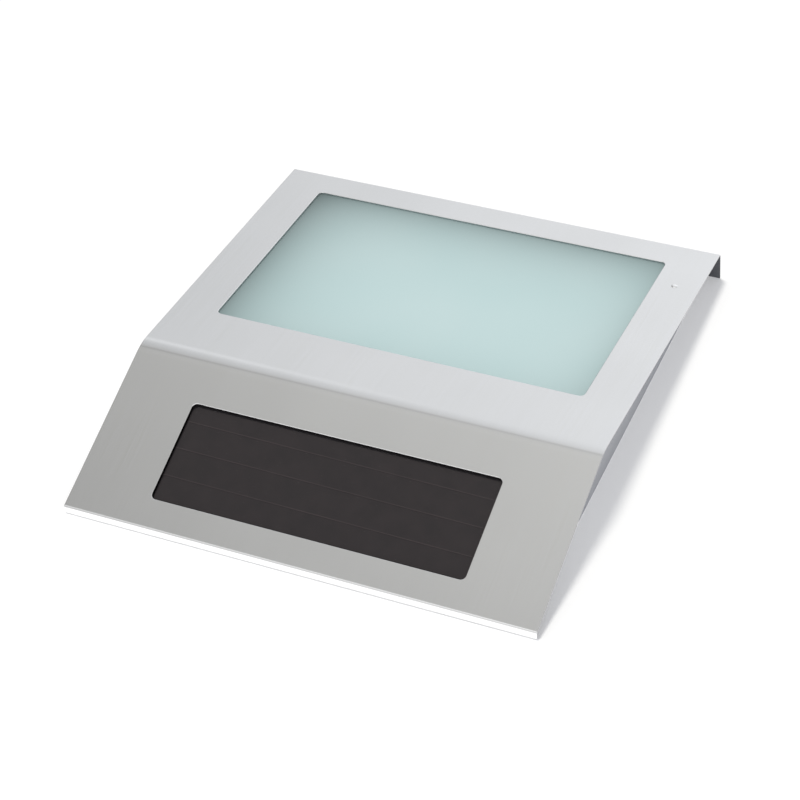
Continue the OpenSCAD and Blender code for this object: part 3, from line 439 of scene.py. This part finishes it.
grit, drift = pattern(tree, 0.4), pattern(tree, 45.0, detail=1.0)
tone = add_node(tree, "Mix", {"data_type": "RGBA", "A_Color": linear("#C2DADA"),
                             "B_Color": linear("#C6DCDC")}, {"Factor_Float": drift})
shaded = add_node(tree, "VectorMath", {"operation": "SCALE"}, {"Vector": tone,
                                                               "Scale": light})
rough = add_node(tree, "Math", {"operation": "MULTIPLY_ADD", "Value_001": ROUGH_SPREAD,
                                "Value_002": FROST_ROUGH}, {"Value": grit})
surface(tree, shaded, rough, grit, 0.01, {"IOR": ACRYLIC_IOR})

width, length, thick = (v / MM for v in number_size)
sheet = slab("frosted_sheet", number_board, (width, length), (-thick, 0.0), PANEL_RADIUS, ground=GROUND)
put(sheet, frost)
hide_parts("number_panel")

# %% [markdown]
# A frame of pale adhesive tape, a quarter of a millimetre thick, holds the panel against the back of the
# steel. Its edge shows inside the rim of the window, where it keeps the gap from looking black. A frame
# is two outlines: one function turns them into a flat piece with a hole, for this tape and for the
# border of the solar glass.

# %% Tape of the number panel


def flat_frame(name, board, outer, inner, heights, shift=(0.0, 0.0)):
    """A flat frame. Outer and inner are width, length and corner radius, and the shift moves the hole. All
    measures are in millimetres."""
    sides = []
    for (wide, long, radius), middle in ((outer, (0.0, 0.0)), (inner, shift)):
        sides.append([rounded_ring((wide, long), radius, middle, height) for height in heights])
    return stacked(name, board, sides[0], [sides[1][1], sides[1][0]])


TAPE_HEIGHTS = (0.02, 0.27)  # mm above the panel
TAPE_INSIDE = 2 * (WINDOW_IN - 0.1)  # mm that its opening is smaller than the panel

tape = flat_frame("number_tape", number_board, (width - 0.8, length - 0.8, 2.6),
                  (width - TAPE_INSIDE, length - TAPE_INSIDE, 2.1), TAPE_HEIGHTS)
tape_foam = coloured("acrylic_foam_tape", "#C3D2D0", "#BCCBC9", 0.4, 0.7, 0.01, {"IOR": ACRYLIC_IOR})
put(tape, tape_foam)

# %% [markdown]
# ## Clear glass
# Glass is clear all through, and what the eye sees of it is the gloss on top: four hundredths of the
# light when looked at squarely, and more and more at a glancing view. A real glass shader would bend
# every ray, which costs much noise and shifts what lies behind by a fraction of a millimetre. So the
# gloss is mixed with a clear shader instead, by the angle of view: the fifth power is the usual short
# form of the law of reflection. Whether a ray passes or is mirrored is decided by chance, and a chance
# of four hundredths makes speckles on what is as dark as these cells. So the glass only adds what grows
# with the angle, and the steady four hundredths are in the colours of what lies below it.

# %% Clear finish
GLASS_IOR = 1.52
GLASS_ROUGH = 0.06  # where it is least even

glass, tree = new_material("float_glass")
view = add_node(tree, "LayerWeight", {"Blend": 0.5})
share = add_node(tree, "Math", {"operation": "POWER", "Value_001": 5.0}, {"Value": view.outputs["Facing"]})
swirl = pattern(tree, 12.0, detail=1.0)
rough = add_node(tree, "Math", {"operation": "MULTIPLY", "Value_001": GLASS_ROUGH}, {"Value": swirl})
gloss = add_node(tree, "BsdfGlossy", {}, {"Roughness": rough})
through = add_node(tree, "BsdfTransparent")
both = add_node(tree, "MixShader", {}, {"Fac": share, "Shader": through, "Shader_001": gloss})
add_node(tree, "OutputMaterial", {}, {"Surface": both})
print("clear:", glass.name)

# %% [markdown]
# ## The solar panel
# Under the float glass lie four strips of thin-film cells, nearly black with a trace of red-brown, and
# between them three thin ribbons that join the strips, a little lighter. The film is laid by vapour in a
# vacuum, so it has no texture, only a drift of its colour. Its colour holds the veil of light that the
# glass throws over it, and its own gloss is faint. A black border of ceramic ink is printed on the back
# of the glass and hides the edges of the film. It lies in the corner between the glass and the steel's
# rim, where little of the room is mirrored, so it is darker.

# %% Film of the cells
FAINT = 0.08  # of the usual gloss
FILM_ROUGH, FILM_SPREAD = 0.12, 0.04

film, tree = new_material("thin_film_cells")
patch = pattern(tree, 9.0, detail=2.0)
fine = pattern(tree, 0.6)
tone = add_node(tree, "Mix", {"data_type": "RGBA", "A_Color": linear("#373435"),
                             "B_Color": linear("#3B3738")}, {"Factor_Float": patch})
rough = add_node(tree, "Math", {"operation": "MULTIPLY_ADD", "Value_001": FILM_SPREAD,
                                "Value_002": FILM_ROUGH}, {"Value": fine})
shader = add_node(tree, "BsdfPrincipled", {"IOR": GLASS_IOR, "Specular IOR Level": FAINT},
                  {"Base Color": tone, "Roughness": rough})
add_node(tree, "OutputMaterial", {}, {"Surface": shader})
print("film:", film.name)

# %% [markdown]
# The film is laid on the back of the glass itself, with no air between them, so only the front of the
# glass mirrors the room. That is why the piece of glass reaches a hair into the film: its back face then
# can't be seen. Real glass bends the rays, so that what lies under it looks much nearer than it is. The
# clear finish doesn't, so the glass is drawn thin and the film thick, and together they fill the place
# that both have in the construction: above its step the film is a little wider than the opening of the
# border, and below it as wide as the cells, which the seal goes round.

# %% Glass and film of the solar panel
BORDER_OPENING, BORDER_SHIFT = (122.8, 43.7), (-0.2, 2.15)  # mm
FILM_SPARE, FILM_RADIUS = 0.5, 0.5  # mm that the film reaches under the border, and its corners
LOOKS_THICK, INTO_FILM = 0.7, 0.02  # mm of glass that the eye sees, and how far it reaches into the film

width, length, thick = (v / MM for v in solar_size)
cover = slab("solar_cover_glass", solar_board, (width, length), (-INTO_FILM - LOOKS_THICK, 0.0),
             PANEL_RADIUS, ground=GROUND)
put(cover, glass)
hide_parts("solar_glass")

cells_board, cells_size = board_of("solar_cells")
cells_at = solar_board.inverted() @ cells_board.translation / MM
narrow, wide = cells_size / MM, [side + 2 * FILM_SPARE for side in BORDER_OPENING]
steps = ((narrow, cells_at, -thick - cells_size.z / MM), (narrow, cells_at, -thick),
         (wide, BORDER_SHIFT, -thick), (wide, BORDER_SHIFT, -LOOKS_THICK))
strips = stacked("cell_strips", solar_board,
                 [rounded_ring(size, FILM_RADIUS, middle, height) for size, middle, height in steps])
print("cells lie", [round(v, 2) for v in cells_at], "mm from the middle of the glass")
put(strips, film)
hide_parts("solar_cells")

# %% [markdown]
# The border and the ribbons are real layers, 0.04 mm thick, just above the film. The border is printed a
# little off the middle, so the photograph shows it as a black line on the left, and hardly on the other
# sides. The ribbons are 11.4 mm apart, and they lie half a degree askew, as measured in the photograph.

# %% Border and ribbons
PRINT_HEIGHTS = (0.06 - LOOKS_THICK, 0.1 - LOOKS_THICK)  # mm from the front of the glass
RIBBONS_AT, RIBBON_WIDTH = (-10.0, 1.45, 12.7), 0.4  # mm from the middle of the glass
RIBBONS_TURN = math.radians(-0.5)

behind_glass = {"IOR": GLASS_IOR, "Specular IOR Level": FAINT}
ink = coloured("black_ceramic_ink", "#060607", "#09090A", 0.3, 0.55, 0.0005, behind_glass)
ribbon = coloured("lacquered_cell_ribbon", "#433E3F", "#474142", 2.0, 0.17, 0.0001, behind_glass)
border = flat_frame("border_print", solar_board, (width - 1.0, length - 1.0, 2.6), BORDER_OPENING + (1.6,),
                    PRINT_HEIGHTS, BORDER_SHIFT)
put(border, ink)
ribbon_board = solar_board @ Matrix.Rotation(RIBBONS_TURN, 4, "Z")
for number, at in enumerate(RIBBONS_AT, 1):
    line = slab("cell_ribbon_%d" % number, ribbon_board, (BORDER_OPENING[0] + 1.0, RIBBON_WIDTH),
                PRINT_HEIGHTS, 0.15, middle=(BORDER_SHIFT[0], at))
    put(line, ribbon)

# %% [markdown]
# ## The weld mark
# The studs that hold the sheet are welded to its back, and one of them shows through as a small bump
# near the far right corner, 2.5 mm across and 0.4 mm high. Brushing has pushed it over a little, so it
# is steep on the near left and gentle on the far right, where it catches the light. Rings of points,
# each smaller, higher and further over than the last, build it up.

# %% Weld mark
MARK_AT, MARK_LIFT = (82.8, 31.7), 0.9  # mm from the middle of the number panel, and up to the steel
MARK_HALF, MARK_LEAN = (1.35, 1.2), (-0.5, -0.35)  # mm along X and up the slope
MARK_PROFILE = (  # share of its width, and height in mm
    (1.0, -0.05), (0.95, 0.02), (0.84, 0.15), (0.62, 0.3), (0.36, 0.39), (0.12, 0.42))
MARK_POINTS = 20

around = [(math.cos(math.tau * i / MARK_POINTS), math.sin(math.tau * i / MARK_POINTS))
          for i in range(MARK_POINTS)]
rings = []
for share, height in MARK_PROFILE:
    middle = [at + (1 - share) * lean for at, lean in zip(MARK_AT, MARK_LEAN)]
    rings.append([((middle[0] + share * MARK_HALF[0] * x) * MM, (middle[1] + share * MARK_HALF[1] * y) * MM,
                   (MARK_LIFT + height) * MM) for x, y in around])
mark = stacked("weld_mark", number_board, rings)
for face in mark.data.polygons:
    face.use_smooth = True
put(mark, steel)

# %% [markdown]
# ## Zinc and nickel
# Studs, screws and the can of the switch are steel with a zinc plating of a few thousandths of a
# millimetre. It looks silvery with a faint blue and straw tint, because the clear coat over it is about
# as thin as a wave of light. The contacts and the spring are plated with nickel, which is warmer and
# shinier, and so thin that the long grain of the rolled steel below still shows.

# %% Plated metals


def plated(name, colour, tint, spot, roughness, grain):
    """A plated metal: a tint that wanders over some millimetres, and the fine grain of the steel below."""
    material, tree = new_material(name)
    wander, drawn = pattern(tree, spot, detail=1.0), pattern(tree, *grain)
    shade = add_node(tree, "Mix", {"data_type": "RGBA", "A_Color": linear(colour),
                                  "B_Color": linear(tint)}, {"Factor_Float": wander})
    rough = add_node(tree, "Math", {"operation": "MULTIPLY_ADD", "Value_001": ROUGH_SPREAD,
                                    "Value_002": roughness - ROUGH_SPREAD / 2}, {"Value": drawn})
    surface(tree, shade, rough, drawn, 0.002, {"Metallic": 1.0})
    return material


wear(plated("zinc_plated_steel", "#C4C8CE", "#CFCCC2", 3.0, 0.34, (0.3, 0.3, 0.3)),
     "plate_studs", "board_screws", "cover_screws", "door_screws", "switch_body")
wear(plated("nickel_plated_steel", "#D4CCC1", "#DAD3C8", 5.0, 0.22, (4.0, 0.25, 0.25)),
     "battery_spring", "minus_contact", "plus_contact")

# %% [markdown]
# ## Foam seals
# The seals are closed-cell rubber foam. Cut foam shows its cells as small dull craters with thin walls
# between them, 0.3 to 0.5 mm wide. A Voronoi texture is made of just such cells, so its distance from the
# middle of each cell serves as the height, and as painted shade: the colour is darker in each crater and
# lighter on the walls between them.

# %% Foam
FOAM_CELL = 0.45  # mm

foam, tree = new_material("closed_cell_foam")
place = add_node(tree, "TexCoord")
cells = add_node(tree, "TexVoronoi", {"Scale": 1 / (FOAM_CELL * MM)}, {"Vector": place.outputs["Object"]})
# darker in the middle of each cell: painted shade in the craters
shade = add_node(tree, "Mix", {"data_type": "RGBA", "A_Color": linear("#1D1E20"),
                              "B_Color": linear("#2C2D2F")}, {"Factor_Float": cells.outputs["Distance"]})
rough = add_node(tree, "MapRange", {"To Min": 0.95, "To Max": 0.8}, {"Value": cells.outputs["Distance"]})
surface(tree, shade, rough, cells.outputs["Distance"], 0.08, {"IOR": 1.5})
wear(foam, "number_seal", "solar_seal", "cover_seal", "door_seal")

# %% [markdown]
# ## Circuit boards
# Both boards are glass cloth in resin under solder mask. The cloth shows through as a weave of 0.6 mm,
# and the copper tracks as slightly raised, lighter bands, because the mask lies over them like a thick
# varnish. A brick texture with long bricks draws such parallel tracks with breaks between them.

# %% Boards
BOARD_ROUGH = 0.3


def laminate(name, mask, over_copper, track):
    """A board under solder mask, with tracks this many millimetres apart."""
    material, tree = new_material(name)
    place = add_node(tree, "TexCoord")
    size = add_node(tree, "Mapping", {"Scale": (1 / MM,) * 3}, {"Vector": place.outputs["Object"]})
    tracks = add_node(tree, "TexBrick", {"Scale": 1.0, "Brick Width": 9 * track, "Row Height": track,
                                         "Mortar Size": 0.3 * track, "Mortar Smooth": 0.2,
                                         "Color1": linear(over_copper), "Color2": linear(over_copper),
                                         "Mortar": linear(mask)}, {"Vector": size})
    weave = pattern(tree, 0.6)
    rough = add_node(tree, "Math", {"operation": "MULTIPLY_ADD", "Value_001": ROUGH_SPREAD,
                                    "Value_002": BOARD_ROUGH}, {"Value": weave})
    surface(tree, tracks.outputs["Color"], rough, tracks.outputs["Fac"], -0.04, {"IOR": 1.5})
    return material


wear(laminate("green_solder_mask", "#1D5A3C", "#2A7550", 1.2), "control_board")
wear(laminate("white_solder_mask", "#EDEDE9", "#F4F4F1", 1.6), "led_board")
wear(coloured("black_epoxy_resin", "#1F1F21", "#262628", 0.15, 0.42, 0.01, {"IOR": 1.55}), "board_parts")

# %% [markdown]
# ## Light-emitting diodes
# A white diode is a blue chip under silicone filled with yellow phosphor, so by day its lens looks like
# a drop of pale custard with a wet shine.

# %% Diodes
SILICONE = {"IOR": 1.41, "Coat Weight": 0.4}
silicone = coloured("phosphor_silicone", "#EFDF9C", "#E8D27E", 0.5, 0.14, 0.002, SILICONE)
wear(silicone, "leds")

# %% [markdown]
# ## The cell
# The rechargeable cell wears a shrunk sleeve of green PET. The sleeve stops short of both ends, where
# the bare nickel-plated can shows. How far a point is along the cell decides which of the two it is made
# of, and that one number also switches the metal on.

# %% Battery cell
CELL_BARE = (0.5, 2.2)  # mm of bare metal at the minus and plus end
SLEEVE_ROUGH, SLEEVE_SPREAD = 0.2, 0.08
start, end = (corner.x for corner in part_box("battery_cell"))

cell_wrap, tree = new_material("shrink_sleeved_cell")
place = add_node(tree, "TexCoord")
axes = add_node(tree, "SeparateXYZ", {}, {"Vector": place.outputs["Object"]})
after = add_node(tree, "Math", {"operation": "GREATER_THAN", "Value_001": start + CELL_BARE[0] * MM},
                 {"Value": axes.outputs["X"]})
before = add_node(tree, "Math", {"operation": "LESS_THAN", "Value_001": end - CELL_BARE[1] * MM},
                  {"Value": axes.outputs["X"]})
sleeve = add_node(tree, "Math", {"operation": "MULTIPLY"}, {"Value": after,
                                                            "Value_001": before})
bare = add_node(tree, "Math", {"operation": "SUBTRACT", "Value": 1.0}, {"Value_001": sleeve})
shade = add_node(tree, "Mix", {"data_type": "RGBA", "A_Color": linear("#CFC9C0"),
                              "B_Color": linear("#2F7A55")}, {"Factor_Float": sleeve})
ripple = pattern(tree, 14.0, 2.0, 2.0)
rough = add_node(tree, "Math", {"operation": "MULTIPLY_ADD", "Value_001": SLEEVE_SPREAD,
                                "Value_002": SLEEVE_ROUGH}, {"Value": ripple})
surface(tree, shade, rough, ripple, 0.02, {"IOR": 1.57}, {"Metallic": bare})
wear(cell_wrap, "battery_cell")

# %% [markdown]
# ## Leads
# The leads are sleeved in soft PVC, drawn off a reel. The sleeve is smooth with a dull shine and small
# bends that show as slow waves in it.

# %% Leads
PVC = {"IOR": 1.53}
wear(coloured("red_pvc_sleeve", "#B12A2E", "#A52428", 1.5, 0.42, 0.01, PVC), "battery_leads", "solar_leads")
wear(coloured("grey_pvc_sleeve", "#8C8F93", "#83868A", 1.5, 0.42, 0.01, PVC), "led_leads", "switch_leads")

# %% [markdown]
# ## The floor
# The object lies on plain white paper that runs out of the picture. White paper throws back about three
# quarters of the light, and a photographer exposes so that it comes out fully white. The same is done
# here: the paper has its own colour, which takes the shadow, and a little glow on top that only the
# camera and mirrors see, so that it lights nothing. In front of the lip the glow is stronger, a painted
# pool of light on the paper, which the lip mirrors, and which leaves only a faint line of shadow along
# it.

# %% Paper
PAPER, GLOW = "#E4E4E4", 0.25
FRONT_GLOW, GLOW_BEHIND = 0.95, 0.1  # what mirrors see of the glow in front of the lip, and behind that part
FRONT_GLOW_SEEN = 0.3  # share of it that the camera sees
FRONT_GLOW_EDGE = (-0.0999, -0.0985)  # m along Y, where the brighter part in front ends

paper, tree = new_material("white_paper")
path = add_node(tree, "LightPath")
place = add_node(tree, "TexCoord")
axes = add_node(tree, "SeparateXYZ", {}, {"Vector": place.outputs["Object"]})
# the glow is stronger in front of the lip: a painted pool of light on the paper
front_glow = add_node(tree, "MapRange", {"From Min": FRONT_GLOW_EDGE[0], "From Max": FRONT_GLOW_EDGE[1],
                                   "To Min": FRONT_GLOW, "To Max": GLOW_BEHIND}, {"Value": axes.outputs["Y"]})
mirrored = add_node(tree, "Math", {"operation": "MULTIPLY"},
                    {"Value": front_glow, "Value_001": path.outputs["Is Glossy Ray"]})
straight = add_node(tree, "Math", {"operation": "MAXIMUM"},
                    {"Value": path.outputs["Is Camera Ray"],
                     "Value_001": path.outputs["Is Transmission Ray"]})
seen = add_node(tree, "Math", {"operation": "MULTIPLY_ADD", "Value_001": FRONT_GLOW_SEEN, "Value_002": GLOW},
                {"Value": front_glow})
strength = add_node(tree, "Math", {"operation": "MULTIPLY_ADD"},
                    {"Value": straight, "Value_001": seen,
                     "Value_002": mirrored})
glow = add_node(tree, "Emission", {}, {"Strength": strength})
diffuse = add_node(tree, "BsdfDiffuse", {"Color": linear(PAPER)})
both = add_node(tree, "AddShader", {}, {"Shader": diffuse, "Shader_001": glow})
print("paper", PAPER, "glows by", GLOW, "to the camera")

# %% [markdown]
# The door and the switch are on the back, which lies on the paper. To look at them the camera has to go
# below the floor, so the paper is a sheet with one side only: from below it isn't there. Under the
# housing it also lets light through, or the back would be black. From above, the paper is whole.

# %% One side of the paper only
UNDER_LOW, UNDER_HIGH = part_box("front_housing")

for_light = add_node(tree, "Math", {"operation": "SUBTRACT", "Value": 1.0},
                     {"Value_001": path.outputs["Is Camera Ray"]})
for axis, low, high in (("X", UNDER_LOW.x, UNDER_HIGH.x), ("Y", UNDER_LOW.y, UNDER_HIGH.y)):
    near = add_node(tree, "Math", {"operation": "COMPARE", "Value_001": (low + high) / 2,
                                   "Value_002": (high - low) / 2}, {"Value": axes.outputs[axis]})
    for_light = add_node(tree, "Math", {"operation": "MULTIPLY"}, {"Value": for_light,
                                                                   "Value_001": near})
side = add_node(tree, "NewGeometry")
gone = add_node(tree, "Math", {"operation": "MAXIMUM"}, {"Value": side.outputs["Backfacing"],
                                                         "Value_001": for_light})
clear = add_node(tree, "BsdfTransparent")
one_sided = add_node(tree, "MixShader", {}, {"Fac": gone, "Shader": both,
                                             "Shader_001": clear})
add_node(tree, "OutputMaterial", {}, {"Surface": one_sided})
print("open to light under the housing, mm:", [round(v / MM) for v in (UNDER_HIGH - UNDER_LOW).xy])

# %% [markdown]
# The sheet itself is a plain square, wide enough to run out of every picture. It lies a hair lower than
# the object, so that no two faces share a plane.

# %% Floor
FLOOR_SIDE, FLOOR_DROP = 6, 0.2  # m and mm

bpy.ops.mesh.primitive_plane_add(size=FLOOR_SIDE, location=(0, 0, -FLOOR_DROP * MM))
floor = bpy.context.object
floor.name = "floor"
floor.data.materials.append(paper)
print("floor", FLOOR_SIDE, "m wide")

# %% [markdown]
# ## The room that the steel mirrors
# Both faces are the same sheet, yet in the photograph the number face is bright and cool, and the solar
# face a third darker and warmer: they mirror different parts of the studio. So the room is described by
# direction. A ramp along Y says how bright it is from in front of the object, over its top, to behind
# it, with a sharp edge where the number face begins. A second ramp along X lets it brighten to the
# right, and low down behind the object a bright wall catches the far bend.

# %% Room, as mirrors see it
PEAK = 1.45  # no stop is brighter than this
ALONG = (  # direction along Y, brightness, tint
    (-1.0, 0.95, "#FFFFFF"), (-0.6, 0.95, "#FFFFFF"), (-0.42, 1.4, "#FFFFFF"), (-0.26, 1.3, "#FFFFFF"),
    (-0.1, 0.8, "#FFFFFF"), (-0.005, 0.49, "#FFFFFC"),
    (0.1, 0.79, "#FFFFFC"), (0.36, 0.69, "#FFFFFD"), (0.43, 0.88, "#FBFDFF"), (0.55, 0.945, "#FBFDFF"),
    (0.68, 0.99, "#FBFDFF"), (1.0, 0.99, "#FBFDFF"))
ASIDE = (  # direction along X, brightness
    (-1.0, 0.5), (-0.6, 0.5), (-0.46, 0.77), (-0.4, 0.98), (-0.34, 1.03), (-0.28, 1.05), (-0.1, 1.3),
    (0.3, 1.1), (1.0, 0.62))
WALL_Z, WALL_GAIN = (0.1, 0.38), 1.4  # direction along Z where the wall ends, and how bright it is
print("room drawn with", len(ALONG), "and", len(ASIDE), "stops")

# %% [markdown]
# A colour ramp holds such a list of stops. It counts from 0 to 1, while a direction runs from -1 to 1,
# so a Map Range node goes before it. Its colours end at 1 too, so each level is divided by a peak here,
# and the world multiplies by it again.

# %% Ramps of the room
world = bpy.data.worlds.new("studio")
bpy.context.scene.world = world
world.use_nodes = True
world.node_tree.nodes.clear()
tree = world.node_tree
direction = add_node(tree, "TexCoord")
axes = add_node(tree, "SeparateXYZ", {}, {"Vector": direction.outputs["Generated"]})
ramps = []
for axis, stops in (("Y", ALONG), ("X", ASIDE)):
    along = add_node(tree, "MapRange", {"From Min": -1.0, "From Max": 1.0}, {"Value": axes.outputs[axis]})
    node = add_node(tree, "ValToRGB", {}, {"Fac": along})
    elements = node.color_ramp.elements
    while len(elements) < len(stops):
        elements.new(0.5)
    for element, (at, level, *tint) in zip(elements, stops):
        element.position = (at + 1) / 2
        shade = linear(tint[0] if tint else "#FFFFFF")
        element.color = tuple(c * level / PEAK for c in shade[:3]) + (1.0,)
    ramps.append(node)
wall = add_node(tree, "MapRange", {"From Min": WALL_Z[0], "From Max": WALL_Z[1], "To Min": WALL_GAIN,
                                   "To Max": 1.0}, {"Value": axes.outputs["Z"]})
print("ramps:", len(ramps))

# %% [markdown]
# A soft lamp shade stands far to the left, a little behind the object. The bend mirrors it as a pale
# band that fades towards the middle. It is one more factor on the room: two Map Range nodes say how near
# a direction is to the shade, one along Y and one along X.

# %% Lamp shade on the left
SHADE_Y, SHADE_REACH = 0.645, 0.085  # direction along Y of its middle, and how far it reaches from there
SHADE_X, SHADE_GAIN = (-0.38, -0.58), 1.25  # direction along X where it begins and is full, and its light

away = add_node(tree, "Math", {"operation": "SUBTRACT", "Value_001": SHADE_Y},
                {"Value": axes.outputs["Y"]})
gap = add_node(tree, "Math", {"operation": "ABSOLUTE"}, {"Value": away})
near_y = add_node(tree, "MapRange", {"interpolation_type": "SMOOTHSTEP", "From Max": SHADE_REACH,
                                     "To Min": SHADE_GAIN, "To Max": 0.0}, {"Value": gap})
near_x = add_node(tree, "MapRange", {"From Min": SHADE_X[0], "From Max": SHADE_X[1]},
                  {"Value": axes.outputs["X"]})
shade = add_node(tree, "Math", {"operation": "MULTIPLY_ADD"}, {"Value": near_y,
                                                               "Value_001": near_x,
                                                               "Value_002": wall})
print("lamp shade at", SHADE_Y, "along Y")

# %% [markdown]
# ## The light
# For everything that is not a mirror the room is plain and even, and a soft lamp high above, a little to
# the left and behind, casts the narrow shadow on the right. The room gives half of the light on a
# surface that faces up and the lamp the other half, and together they make 1, so that a colour renders
# as it is written. No lamp reaches the back, so below the horizon the even light is twice as strong.

# %% World
ROOM_SHARE = 0.5
FILL_TINT, LAMP_TINT = (0.965, 0.985, 1.05), (1.035, 1.015, 0.95)  # cool and warm, white in sum

product = add_node(tree, "VectorMath", {"operation": "MULTIPLY"},
                   {"Vector": ramps[0].outputs["Color"], "Vector_001": ramps[1].outputs["Color"]})
seen_room = add_node(tree, "VectorMath", {"operation": "SCALE"}, {"Vector": product,
                                                                  "Scale": shade})
mirror = add_node(tree, "Background", {"Strength": PEAK * PEAK}, {"Color": seen_room})
upward = add_node(tree, "Math", {"operation": "GREATER_THAN", "Value_001": 0.0},
                  {"Value": axes.outputs["Z"]})
fill = add_node(tree, "Mix", {"data_type": "RGBA", "A_Color": (1, 1, 1, 1),
                              "B_Color": tuple(ROOM_SHARE * c for c in FILL_TINT) + (1,)},
                {"Factor_Float": upward})
even = add_node(tree, "Background", {"Strength": 1.0}, {"Color": fill})
white = add_node(tree, "Background", {"Color": (1, 1, 1, 1), "Strength": 1.0})
path = add_node(tree, "LightPath")
straight = add_node(tree, "Math", {"operation": "MAXIMUM"},
                    {"Value": path.outputs["Is Camera Ray"],
                     "Value_001": path.outputs["Is Transmission Ray"]})
one = add_node(tree, "MixShader", {}, {"Fac": path.outputs["Is Glossy Ray"], "Shader": even,
                                       "Shader_001": mirror})
two = add_node(tree, "MixShader", {}, {"Fac": straight, "Shader": one,
                                       "Shader_001": white})
add_node(tree, "OutputWorld", {}, {"Surface": two})
world.cycles.sampling_method = "NONE"
print("world:", world.name, "gives", ROOM_SHARE, "of the light from above")

# %% [markdown]
# The lamp is a sun with a wide disc, whose width softens the shadow. Mirrors don't see it, because the
# room already holds what they show.

# %% Lamp
LAMP_TURN, LAMP_HEIGHT, LAMP_SIZE = math.radians(145), math.radians(76), math.radians(14)

towards = Vector((math.cos(LAMP_TURN) * math.cos(LAMP_HEIGHT),
                  math.sin(LAMP_TURN) * math.cos(LAMP_HEIGHT), math.sin(LAMP_HEIGHT)))
lamp = bpy.data.objects.new("soft_lamp", bpy.data.lights.new("soft_lamp", "SUN"))
lamp.data.energy = (1 - ROOM_SHARE) * math.pi / math.sin(LAMP_HEIGHT)
lamp.data.angle = LAMP_SIZE
lamp.data.color = LAMP_TINT
lamp.rotation_mode = "QUATERNION"
lamp.rotation_quaternion = towards.to_track_quat("Z", "Y")
lamp.visible_glossy = False
bpy.context.scene.collection.objects.link(lamp)
bpy.context.scene.view_settings.view_transform = "Standard"
print("lamp strength", round(lamp.data.energy, 3))
